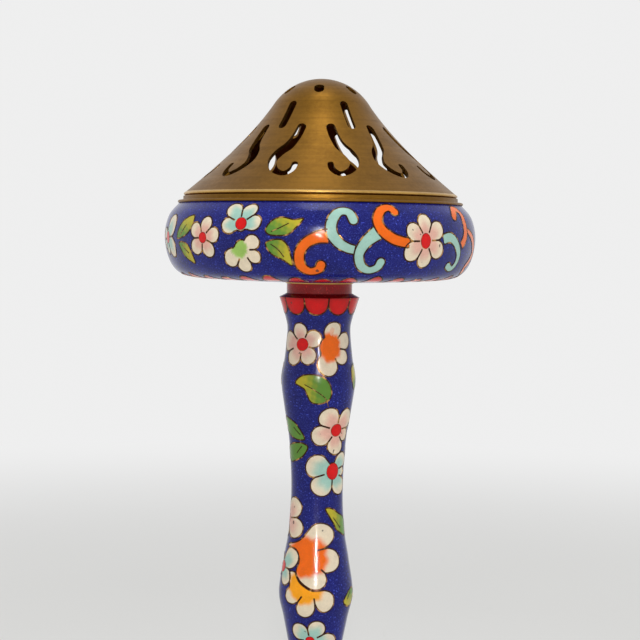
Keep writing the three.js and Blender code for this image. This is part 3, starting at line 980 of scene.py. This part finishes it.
photo_leaf(
    drum, base=(267, 231), tip=(303, 219), rib=[(271, 231.5), (280, 227.5), (289, 223)],
    outline=[
        (265.5, 229), (272, 220.5), (282, 217), (294, 219.5), (303.5, 218.5), (296, 227.5), (287.5, 234.5),
        (276, 235.5), (268, 234),
    ],
)
photo_leaf(
    drum, base=(267, 243), tip=(292, 265), rib=[(270.5, 244), (278, 249.5), (284, 257)],
    outline=[(265.5, 243.5), (274, 239.5), (283, 240.5), (289, 249), (292.5, 265.5), (283, 260),
        (271, 253.5)],
)
photo_scroll(
    drum, line=[(327.5, 236), (317, 237.5), (306, 243), (299.5, 253), (300.5, 265), (309, 271.5),
        (318, 270),
    (321, 265)], widths=[3.5, 2.9, 2.6, 2.6, 2.6, 2.3, 2.3, 2.4], colour=ORANGE, round_ends=(False, True),
)
photo_scroll(
    drum, line=[(353.4, 220), (348.4, 212), (339.4, 211.5), (332.4, 220), (331.4, 232), (338.4, 242.5),
    (347.4, 248), (354.9, 250)], widths=[2.4, 2.3, 2.4, 2.7, 2.8, 2.6, 2.4, 2.2], colour=TURQUOISE,
        round_ends=(True, False),
)
photo_scroll(
    drum, line=[(377.7, 232.5), (366.2, 242), (359.2, 254), (360.7, 265.5), (368.2, 270.5), (376.7, 268),
    (380.7, 262.5)], widths=[3.7, 2.9, 2.5, 2.4, 2.2, 2.2, 2.4], colour=TURQUOISE, round_ends=(False, True),
)
photo_scroll(
    drum, line=[(394.5, 211.5), (388.5, 207.5), (381, 210), (377.5, 220), (382.5, 230.5), (392, 238),
    (401, 241.5), (409.5, 243)], widths=[2.3, 2.3, 2.4, 2.6, 2.7, 2.7, 2.6, 2.4], colour=ORANGE,
        round_ends=(True, False),
)
photo_flower(
    drum, centre=(426, 241),
    petals=[(424.5, 221), (438, 229), (438, 251), (424, 261), (410.5, 253.5), (413, 230.5)], tip=1.9,
    heart=1.55, oval=1.2,
)
photo_scroll(
    drum, line=[(444, 239.5), (450.5, 237.5), (456, 243), (458.5, 254), (455.5, 264), (450.5, 269),
        (447.5, 266)],
    widths=[2.6, 2.6, 2.4, 2.2, 1.9, 1.8, 2.0], colour=TURQUOISE, round_ends=(False, True),
)
photo_scroll(
    drum, line=[(454, 217), (453, 209), (459, 212), (464.5, 224), (465.5, 236), (461.5, 246)],
    widths=[2.1, 2.0, 2.2, 2.4, 2.5, 2.2], colour=ORANGE, round_ends=(True, False),
)
photo_scroll(
    drum, line=[(468, 231), (471.8, 237), (473.2, 246), (472, 255), (468.5, 262), (464, 268), (461.5, 273)],
    widths=[1.4, 2.0, 2.4, 2.4, 2.2, 1.9, 1.6], colour=ORANGE, sides=1,
)
SIDE_FLOWERS = (94, -96)
SIDE_FLOWER_LEVEL, SIDE_LEAF_LEVEL = drum_skin.along_at(156), drum_skin.along_at(149.5)
for azimuth in map(math.radians, SIDE_FLOWERS):
    flower(drum, (azimuth, SIDE_FLOWER_LEVEL), [(18 + 72 * k, 4.4) for k in range(5)])
    leaf(drum, (azimuth, SIDE_LEAF_LEVEL), (-0.4, 0), (-4.6, 1.0), 2.8, bend=-0.1)
    leaf(drum, (azimuth, SIDE_LEAF_LEVEL), (0.4, 0), (4.6, 1.0), 2.8)
UNDER_LAPPETS, LAPPET_DROP = 34, 5.4
lappet_root = drum_skin.along_at(drum_base + 1.9) - LAPPET_DROP
lappets(drum, UNDER_LAPPETS, lappet_root, LAPPET_DROP, 0.8, math.radians(1.3), up=True, uneven=0.14)
drum.finish("bowl", "stand")

# %% [markdown]
# The stem's motifs are fewer and larger than the stem is wide, so most of them run round its edge.

# %% Stem motifs
stem = Inlay(stem_skin)
NECK_LAPPETS = 10
lappets(stem, NECK_LAPPETS, stem_skin.length - 0.05, 4.6, 0.99, math.radians(-4))
photo_flower(
    stem, centre=(302.2, 344.5), petals=[(299.5, 330.5), (314, 338.5), (308, 357), (293, 357),
        (288.5, 341)],
    tip=2.05, slit=0.6, slim=1.03, heart=1.7, oval=0.95,
)
photo_flower(
    stem, centre=(330.5, 347.5), petals=[(334.5, 329.5), (345, 340.5), (342.5, 357), (328.5, 369)], tip=2.0,
    tint=ORANGE, heart=0, open_reach=2.9, blob=(-0.1, 0.0, 3.2, 4.0), slit=0.7,
)
photo_leaf(
    stem, base=(327, 400.5), tip=(296, 383), rib=[(328.5, 407), (325, 398), (314, 390), (304.5, 384.5)],
    outline=[
        (295.5, 383), (300.5, 376.5), (310, 374.5), (321.5, 376.5), (328.5, 382), (331.5, 390),
            (330.5, 398),
        (325, 402.5), (316.5, 404), (310, 401), (304.5, 389.5),
    ],
)
photo_leaf(
    stem, base=(303.5, 438.5), tip=(286.5, 417), rib=[(300.5, 435), (293.5, 427)], tip_colour=LEAF_GREEN,
    outline=[(286, 416), (293, 421), (300, 429.5), (304.5, 439), (297.5, 439.5), (291, 435), (287.5, 427)],
)
photo_leaf(
    stem, base=(304, 444), tip=(291, 461), rib=[(302, 446), (297, 453)], tip_colour=LEAF_GREEN,
    outline=[(290, 445), (299, 442.5), (307.5, 446.5), (305, 453.5), (299.5, 458.5), (291.5, 461),
        (289.5, 452)],
)
photo_flower(
    stem, centre=(336.5, 430.2), petals=[(328, 417.5), (320, 435.5), (336, 446), (347, 418)], tip=2.35,
    hidden=[(-24, 5.0)], slim=1.1, heart=1.65,
)
photo_flower(
    stem, centre=(332.8, 471.3), petals=[(315, 467), (320.5, 486), (339.5, 484),
        (341.5, 462)], tip=2.6, slim=1.1,
    hidden=[(-2, 4.6)], tint=TURQUOISE, tint_to=0.8, heart=1.82, oval=1.19,
)
photo_leaf(
    stem, base=(343.5, 533), tip=(327.5, 510.5), rib=[(340, 528), (333, 517.5)], sides=1,
    outline=[
        (325.5, 509), (331.5, 508.5), (338, 513), (343.5, 519), (344.5, 534.5), (337.5, 530.5),
            (333.5, 523.5),
        (329.5, 517),
    ],
)
photo_flower(
    stem, centre=(287.8, 517), petals=[(296.5, 506.5), (297, 529)], tip=2.0,
    hidden=[(160, 5.0), (205, 5.0), (268, 5.0)], sides=1,
)
photo_blossom(
    stem, centre=(308, 557), tint=ORANGE, blob=(306, 557, 6.3, 5.6),
    outline=[
        (288.6, 543.6), (297, 541.6), (303.5, 537), (308.5, 530.5), (313, 525.6), (320, 523.2), (328, 525),
        (333.2, 530.5), (333.6, 537.5), (330, 544), (323.5, 549), (329, 548.2), (335.6, 551), (339, 557.5),
        (338.6, 565), (334.6, 570.6), (329, 572.8), (325.4, 573.6), (326.6, 579), (324.8, 585.6),
            (318.6, 589.8),
        (311, 589.2), (304.6, 585.6), (299.6, 580.6), (296.6, 574.6), (296.4, 569.6), (298.8, 563),
            (299, 556.4),
        (296.6, 550.6), (292.6, 547.6),
    ],
    notches=[[(323.5, 549), (317.5, 550.5)], [(325.4, 573.6), (321, 569.5)]],
)
photo_flower(
    stem, centre=(283.5, 565.5), petals=[(292.5, 556.5), (285.5, 577)], tip=2.1,
    hidden=[(150, 4.6), (200, 4.6)], tint=TURQUOISE, sides=1,
)
photo_blossom(
    stem, centre=(303, 593), tint=AMBER, blob=(305, 586, 5.3, 5.2),
    outline=[
        (290, 571.4), (294.6, 571.8), (296, 576), (299.4, 582.4), (304.6, 587.2), (311, 590.8),
            (318, 591.2),
        (324.6, 590.6), (330.8, 592.6), (333.8, 598), (333, 605.4), (328.8, 611), (322.6, 612.4),
            (317.6, 609),
        (314.8, 604), (314.6, 610), (310.8, 615.8), (304.8, 617.6), (299, 615), (296, 609), (297.4, 602.6),
        (292.6, 604), (287.8, 602), (285.6, 597), (286.2, 590.8), (289.4, 586.4), (289.6, 578),
    ],
    notches=[[(297.4, 602.6), (301.8, 596.4)], [(314.8, 604), (314, 598.4)]],
)
photo_leaf(
    stem, base=(352, 588), tip=(344, 604.5), rib=[(350, 591), (347, 599)],
    outline=[(343.5, 603), (346.5, 594.5), (350.5, 587.5), (353.5, 589), (352.5, 599), (348.5, 606)],
)
photo_leaf(
    stem, base=(354, 389), tip=(354.5, 364), rib=[(354.6, 384), (355, 371)],
    outline=[(351.5, 367), (354.2, 363.5), (356.2, 372), (356.2, 383), (353.6, 389), (352, 378)],
)
photo_flower(
    stem, centre=(310, 641), petals=[(298, 630), (318, 628), (330, 642)], tip=1.9,
    hidden=[(215, 4.4), (285, 4.4)], tint=TURQUOISE, tint_to=0.8, heart=1.2,
)
stem.finish("stem", "stand")

# %% [markdown]
# The foot isn't in the photograph. It carries the same motifs in the same sizes, laid out evenly.

# %% Foot motifs
foot = Inlay(foot_skin)
FOOT_FLOWERS, SHOULDER_FLOWERS, FOOT_LAPPETS = 6, 3, 32
FLOWER_RISE, LEAF_RISE, SCROLL_RISE, SHOULDER_FLOWER_RISE, SHOULDER_LEAF_RISE = 14.5, 12.5, 22.5, 34.0, 31.0
CURL = [(0.8, 5.0), (0.9, 2.6), (1.5, 0.4), (3.2, -0.9), (4.9, 0.1), (4.9, 1.9), (3.8, 2.3)]
CURL_WIDTHS = [1.1, 1.5, 1.7, 1.8, 1.6, 1.4, 1.6]
lappets(foot, FOOT_LAPPETS, 0.9, 3.2, 0.94, 0.0, up=True)
for i in range(FOOT_FLOWERS):
    azimuth = 2 * math.pi * (i + 0.25) / FOOT_FLOWERS
    gap = math.pi / FOOT_FLOWERS
    tint = (PINK, TURQUOISE, PINK)[i % 3]
    flower(foot, (azimuth, FLOWER_RISE), [(90 + 72 * k + 7 * i, 5.0) for k in range(5)], tint=tint)
    side = (azimuth + gap, LEAF_RISE)
    leaf(foot, side, (0.5, 0), (5.0, 5.2), 3.8)
    leaf(foot, side, (-0.5, 0), (-5.0, 5.2), 3.8, bend=-0.12)
    for sense in (-1, 1):
        line = [(sense * x, y) for x, y in CURL]
        scroll(foot, (azimuth + gap, SCROLL_RISE), line, CURL_WIDTHS, (ORANGE, TURQUOISE)[i % 2])
for i in range(SHOULDER_FLOWERS):
    azimuth = 2 * math.pi * (i + 0.1) / SHOULDER_FLOWERS
    tint = (TURQUOISE, PINK)[i % 2]
    petals = [(54 + 72 * k, 3.8) for k in range(5)]
    flower(foot, (azimuth, SHOULDER_FLOWER_RISE), petals, tint=tint, heart=1.1)
    leaf(foot, (azimuth + math.pi / SHOULDER_FLOWERS, SHOULDER_LEAF_RISE), (0, 0), (2.2, 6.5), 3.0)
foot.finish("foot", "stand")

# %% [markdown]
# The brass rings: the mouth ring that the lid stands on, the thin collar under the drum, the bead between
# stem and foot, and the ring that the burner stands on. Their corners are broken.


# %% Brass rings, collars and bands
RING_FACETS, BEAD_STEPS = 160, 12


def ring(name, section, corner, replaces, material=ring_brass, body="stand", slot="turned_brass"):
    turned(name, break_corners(section, corner), material, body, RING_FACETS, replaces=replaces)


def half_round(radius, bulge, base, top):
    """Points of a half-round bead between two levels."""
    shares = [k / BEAD_STEPS for k in range(BEAD_STEPS + 1)]
    return [(radius + bulge * math.sin(math.pi * share), between(base, top, share)) for share in shares]


mouth_base, mouth_top = levels("mouth_ring")
lip_radius = reach("mouth_ring")
LIP_HEIGHT = 0.75
BAND_INSET = 1.1
SLEEVE_WALL = 1.0
PAN_SHELF, SHELF_THICKNESS = 1.6, 0.8
sleeve_outer = MOUTH_RADIUS - ENAMEL - FIT_GAP - COPPER_WALL - FIT_GAP
sleeve_inner = sleeve_outer - SLEEVE_WALL
band_radius = MOUTH_RADIUS - BAND_INSET
shelf_radius = sleeve_inner - PAN_SHELF
ring(
    "mouth_ring_turned",
    [
        (shelf_radius, mouth_base),
        (sleeve_outer, mouth_base),
        (sleeve_outer, drum_top),
        (MOUTH_RADIUS, drum_top),
        (lip_radius, drum_top + 0.25 * LIP_HEIGHT),
        (lip_radius, drum_top + 0.75 * LIP_HEIGHT),
        (MOUTH_RADIUS, drum_top + LIP_HEIGHT),
        (band_radius, drum_top + LIP_HEIGHT),
        (band_radius, mouth_top),
        (sleeve_inner, mouth_top),
        (sleeve_inner, mouth_base + SHELF_THICKNESS),
        (shelf_radius, mouth_base + SHELF_THICKNESS),
    ],
    0.2, "mouth_ring", lid_brass, slot="aged_brass",
)
collar_base, collar_top = levels("neck_collar")
ROD_HOLE = 2.8
ring(
    "neck_collar_turned",
    [(ROD_HOLE, collar_base), (NECK_COLLAR, collar_base), (NECK_COLLAR, collar_top),
        (ROD_HOLE, collar_top)],
    0.3, "neck_collar",
)
waist_base, waist_top = levels("foot_collar")
bead = half_round(FOOT_TOP_RADIUS, reach("foot_collar") - FOOT_TOP_RADIUS, waist_base, waist_top)
turned(
    "foot_collar_turned", [(ROD_HOLE, waist_base)] + bead + [(ROD_HOLE, waist_top)], ring_brass,
        "stand", 128,
    replaces="foot_collar",
)
ring_height = levels("foot_ring")[1]
ring_radius = reach("foot_ring")
RING_WALL, RING_CHAMFER, PLATE_SHELF = 6.5, 0.6, 1.8
plate_level, plate_top = levels("base_plate")
ring_inner = ring_radius - RING_WALL
ring(
    "foot_ring_turned",
    [
        (ring_inner, 0),
        (ring_radius - RING_CHAMFER, 0),
        (ring_radius, RING_CHAMFER),
        (ring_radius, ring_height * 0.36),
        (ring_radius - 0.5, ring_height * 0.42),
        (ring_radius - 0.5, ring_height * 0.5),
        (ring_radius, ring_height * 0.56),
        (ring_radius, ring_height - RING_CHAMFER),
        (ring_radius - RING_CHAMFER, ring_height),
        (ring_inner + PLATE_SHELF, ring_height),
        (ring_inner + PLATE_SHELF, plate_level),
        (ring_inner, plate_level),
    ],
    0.35, "foot_ring",
)
plate_radius = reach("base_plate")
ring(
    "base_plate_turned",
    [(ROD_HOLE, plate_level), (plate_radius, plate_level), (plate_radius, plate_top),
        (ROD_HOLE, plate_top)],
    0.15, "base_plate",
)

# %% [markdown]
# Inside the drum: the raised copper bowl and the loose ash pan, which hangs by its flange. They show once
# the lid is lifted.

# %% Bowl shell and ash pan
shell_depth = ENAMEL + FIT_GAP
shell = skin_section(drum_skin, shell_depth, shell_depth + COPPER_WALL, 48)
bowl_floor = shell[-1][1]
turned(
    "bowl_shell_raised",
    [(ROD_HOLE, drum_base), (NECK_COLLAR, drum_base), (NECK_COLLAR, shell[0][1])]
    + shell
    + [(ROD_HOLE, bowl_floor)],
    copper_finish, "stand", 160, replaces="bowl_shell",
)
pan_base, pan_top = levels("ash_pan")
pan_flange = reach("ash_pan")
PAN_WALL, PAN_CORNER, BEND_STEPS = 0.8, 4.0, 8
pan_outer = shelf_radius - FIT_GAP
pan_inner = pan_outer - PAN_WALL


def pan_bend(radius, floor):
    """The rounded corner between the floor and the wall of the pan."""
    turns = [math.pi / 2 * k / BEND_STEPS for k in range(BEND_STEPS + 1)]
    middle, level = radius - PAN_CORNER, floor + PAN_CORNER
    return [(middle + PAN_CORNER * math.sin(turn), level - PAN_CORNER * math.cos(turn)) for turn in turns]


turned(
    "ash_pan_spun",
    [(0, pan_base)]
    + pan_bend(pan_outer, pan_base)
    + [(pan_outer, pan_top - PAN_WALL), (pan_flange, pan_top - PAN_WALL)]
    + [(pan_flange, pan_top), (pan_inner, pan_top)]
    + pan_bend(pan_inner, pan_base + PAN_WALL)[::-1]
    + [(0, pan_base + PAN_WALL)],
    copper_finish, "liner", 144, closed=False, replaces="ash_pan",
)

# %% [markdown]
# The lid is one brass sheet: a round cap that flares into a bell. The piercings are sawn through it, so
# they are cut here with real plugs, and the sheet's thickness shows at their edges.

# %% Lid sheet
LID_TURN = math.radians(-4.2)
LID_HEIGHT = levels("lid_dome")[1] - lid_seat
LID_SHEET, CAP_RADIUS, CAP_ANGLE = 0.9, 15.0, math.radians(56)
FLARE_HANDLE, RIM_SLOPE = 10.4, math.radians(39.5)
BEAD_INSET, BEAD_BULGE = 0.1, 0.6
bead_outer = band_radius - BEAD_INSET
dome_edge = bead_outer - BEAD_BULGE
dome_foot = levels("lid_dome")[0] - lid_seat


def lid_outline():
    """The lid's outside from the top to the rim."""
    centre = LID_HEIGHT - CAP_RADIUS
    turns = [CAP_ANGLE * k / 60 for k in range(61)]
    cap = [(CAP_RADIUS * math.sin(turn), centre + CAP_RADIUS * math.cos(turn)) for turn in turns]
    joint, rim = np.array(cap[-1]), np.array([dome_edge, dome_foot])
    first = joint + FLARE_HANDLE * np.array([math.cos(CAP_ANGLE), -math.sin(CAP_ANGLE)])
    second = rim + FLARE_HANDLE * np.array([-math.cos(RIM_SLOPE), math.sin(RIM_SLOPE)])
    t = (np.arange(1, 121) / 120)[:, None]
    flare = (1 - t) ** 3 * joint + 3 * t * (1 - t) ** 2 * first + 3 * t * t * (1 - t) * second + t**3 * rim
    return np.concatenate([cap, flare])


sheet = Skin(lid_outline() + np.array([0, lid_seat]), step=0.1)


def off_sheet(along, lift):
    """Radius and level of a point off the lid. Its outline runs downward, so its normal points inward."""
    r, z, nr, nz = sheet.at(along)
    return r - nr * lift, z - nz * lift


LID_STEPS = 54
outer_line, inner_line = (
    [off_sheet(sheet.length * k / LID_STEPS, lift) for k in range(LID_STEPS + 1)] for lift in (0,
        -LID_SHEET)
)
outer_line[0] = (0.0, lid_seat + LID_HEIGHT)
inner_line[0] = (0.0, lid_seat + LID_HEIGHT - LID_SHEET)
inner_line[-1] = (dome_edge - LID_SHEET / math.sin(RIM_SLOPE), lid_seat + dome_foot)
lid_dome = turned(
    "lid_dome_pierced", inner_line + outer_line[::-1], lid_brass, "lid", 180, closed=False,
    replaces="lid_dome",
)

# %% [markdown]
# A plug is the flat outline of a piercing carried through the sheet along its normal. Each shape is drawn
# once, in degrees from a front plane and millimetres down the sheet, then mirrored and repeated six times.

# %% Piercings
REPEATS, PLUG_REACH = 6, 1.0
HOOK = [
    (11.7, 0.498, 2.3), (12.8, 0.545, 2.5), (14.4, 0.597, 2.6), (16.7, 0.648, 2.9), (20.8, 0.7, 2.85),
    (22.3, 0.768, 2.5), (18.6, 0.838, 2.2), (13.4, 0.868, 1.8), (9.9, 0.835, 1.65), (9.1, 0.788, 1.6),
]
SHORT_SLOT = (0.31, 0.507, 2.2)
OVAL = (0.173, 0.248, 2.6)


def plug_outline(stations, steps):
    """The flat outline of a piercing: across and down the sheet, in millimetres."""
    line = [(math.radians(d) * sheet.at(s * sheet.length)[0], s * sheet.length) for d, s, _ in stations]
    left, right = strip_edges(line, [w for _, _, w in stations], steps)
    return np.concatenate([left, right[::-1]])


def straight_outline(start, end, width):
    half = width / 2 / sheet.length
    return plug_outline([(0, start + half, width), (0, end - half, width)], 4)


def plug_mesh(outline, turn):
    """Points and faces of one plug, standing through the sheet."""
    points = []
    for lift in (PLUG_REACH, -LID_SHEET - PLUG_REACH):
        for across, down in outline:
            r, z = off_sheet(down, lift)
            azimuth = turn + across / max(sheet.at(down)[0], 1.0)
            points.append((r * math.sin(azimuth) * MM, -r * math.cos(azimuth) * MM, z * MM))
    count = len(outline)
    half = count // 2
    faces = []
    for i in range(half - 1):
        a, b = i, count - 1 - i
        faces.append((a, a + 1, b - 1, b))
        faces.append((count + b, count + b - 1, count + a + 1, count + a))
    for i in range(count):
        j = (i + 1) % count
        faces.append((j, i, count + i, count + j))
    return points, faces


hook = plug_outline(HOOK, 34)
mirrored = hook * np.array([-1.0, 1.0])
plugs = []
for i in range(REPEATS):
    around = LID_TURN + 2 * math.pi * i / REPEATS
    plugs += [(hook, around), (mirrored, around), (straight_outline(*OVAL), around)]
    plugs.append((straight_outline(*SHORT_SLOT), around + math.pi / REPEATS))
plug_points, plug_faces = [], []
for outline, around in plugs:
    points, faces = plug_mesh(outline, around)
    plug_faces += [tuple(len(plug_points) + k for k in face) for face in faces]
    plug_points += points
plug_piece = written("plugs", plug_points, plug_faces)
activate(lid_dome)
cut = lid_dome.modifiers.new("piercings", "BOOLEAN")
cut.operation = "DIFFERENCE"
cut.solver = "EXACT"
cut.object = plug_piece
bpy.ops.object.modifier_apply(modifier="piercings")
bpy.data.objects.remove(plug_piece)
bpy.ops.object.shade_smooth_by_angle(angle=SHARP_EDGE)
print("lid", len(lid_dome.data.polygons), "faces")

# %% [markdown]
# The rim of the lid: a half-round bead outside, and the spigot that centres the lid in the mouth.

# %% Lid rim
SPIGOT_WALL, RIM_FLANGE = 0.8, 0.9
spigot_base, spigot_top = levels("lid_spigot")
spigot_radius = sleeve_inner - FIT_GAP
spigot_inner = spigot_radius - SPIGOT_WALL
rim_outer = spigot_radius + RIM_FLANGE
ring(
    "lid_spigot_turned",
    [
        (spigot_inner, spigot_base),
        (spigot_radius, spigot_base),
        (spigot_radius, lid_seat),
        (rim_outer, lid_seat),
        (rim_outer, spigot_top),
        (spigot_inner, spigot_top),
    ],
    0.15, "lid_spigot", body="lid",
)
bead_base, bead_top = levels("lid_rim_bead")
bead_inner = rim_outer + FIT_GAP
bead = half_round(dome_edge, BEAD_BULGE, bead_base, bead_top)
turned(
    "lid_rim_bead_turned", [(bead_inner, bead_base)] + bead + [(bead_inner, bead_top)], ring_brass, "lid",
    RING_FACETS, replaces="lid_rim_bead",
)

# %% [markdown]
# What stays as the solid model has it, hidden inside or under the burner, takes a finish too.

# %% Hidden pieces
for nodes, material, slot in (
    (("foot_shell", "stem_tube"), copper_finish, "copper"),
    (("tie_rod", "bottom_nut", "bottom_washer", "top_washer", "top_nut"), steel_finish, "steel"),
):
    for node in nodes:
        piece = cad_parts[node]
        piece.data.materials.clear()
        piece.data.materials.append(material)

# %% [markdown]
# A plain pale floor, an even world, and five lamps. A large key at the upper left and a large fill at the
# right light the object without being mirrored in it. A soft lamp overhead only glints in the metal of the
# lid. A small lamp near the camera draws the bright spots on drum and stem, and a weak narrow one below it
# the bright line down the lowest blossom.


# %% Stage and light
BACKDROP, SOFT_WORLD = 0.86, 0.44
FLOOR_NEAR, FLOOR_FAR = 0.22, 0.75


def shown_rays(tree):
    """1 for rays that look straight at the background, or see it mirrored or through glass."""
    path = tree.nodes.new("ShaderNodeLightPath")
    total = path.outputs["Is Camera Ray"]
    for ray in ("Is Glossy Ray", "Is Transmission Ray"):
        most = tree.nodes.new("ShaderNodeMath")
        most.operation = "MAXIMUM"
        tree.links.new(total, most.inputs[0])
        tree.links.new(path.outputs[ray], most.inputs[1])
        total = most.outputs[0]
    return total


def floor():
    """Takes the object's shadow near it, and runs into the background far off."""
    bpy.ops.mesh.primitive_plane_add(size=12, location=(0, 0, 0))
    made = bpy.context.object
    made.name = "floor"
    paint = Paint("pale_floor", Roughness=0.9, Specular_IOR_Level=0.1)
    place = paint.place()
    paint.to("Base Color", paint.mix(paint.noise(place, 4.0), lit(226, 226, 224), lit(234, 234, 232)))
    far = paint.node("ShaderNodeVectorMath", {"operation": "LENGTH"}, place)
    shown = Value(paint, shown_rays(paint.tree))
    fade = far.over((FLOOR_NEAR + FLOOR_FAR) / 2, FLOOR_FAR - FLOOR_NEAR) * shown
    glow = paint.tree.nodes.new("ShaderNodeEmission")
    glow.inputs["Color"].default_value = (BACKDROP, BACKDROP, BACKDROP, 1)
    blend = paint.tree.nodes.new("ShaderNodeMixShader")
    paint.feed(blend.inputs[0], fade)
    paint.tree.links.new(paint.shader.outputs[0], blend.inputs[1])
    paint.tree.links.new(glow.outputs[0], blend.inputs[2])
    paint.tree.links.new(blend.outputs[0], paint.tree.nodes["Material Output"].inputs["Surface"])
    made.data.materials.append(paint.material)


def lamp(name, place, aim, width, height, watts, spread=180, mirrored=True, lights=True):
    data = bpy.data.lights.new(name, "AREA")
    data.shape = "RECTANGLE"
    data.spread = math.radians(spread)
    data.size, data.size_y, data.energy = width, height, watts
    made = bpy.data.objects.new(name, data)
    bpy.context.scene.collection.objects.link(made)
    made.location = place
    made.visible_glossy, made.visible_diffuse = mirrored, lights
    made.rotation_euler = (Vector(aim) - Vector(place)).to_track_quat("-Z", "Y").to_euler()


floor()
middle = (0, 0, 0.12)
lamp("key", (-0.3, -0.3, 1.35), middle, 0.6, 0.6, 6.9, mirrored=False)
lamp("overhead", (0.02, -0.1, 1.4), (0, 0, 0.18), 0.4, 0.4, 1.8, lights=False)
lamp("front", (0.01, -0.95, 0.4), middle, 0.09, 0.16, 2.4)
lamp("low front", (0.01, -0.95, 0.19), (0, 0, 0.07), 0.024, 0.12, 0.018, spread=10, lights=False)
lamp("fill", (0.9, -0.3, 0.9), middle, 0.8, 0.8, 3.0, mirrored=False)

world = bpy.data.worlds.new("studio")
bpy.context.scene.world = world
world.use_nodes = True
tree = world.node_tree
backdrop = tree.nodes["Background"]
backdrop.inputs["Color"].default_value = (BACKDROP, BACKDROP, BACKDROP, 1)
soft = tree.nodes.new("ShaderNodeBackground")
soft.inputs["Color"].default_value = (1, 1, 1, 1)
soft.inputs["Strength"].default_value = SOFT_WORLD
choose = tree.nodes.new("ShaderNodeMixShader")
tree.links.new(shown_rays(tree), choose.inputs[0])
tree.links.new(soft.outputs[0], choose.inputs[1])
tree.links.new(backdrop.outputs[0], choose.inputs[2])
tree.links.new(choose.outputs[0], tree.nodes["World Output"].inputs["Surface"])
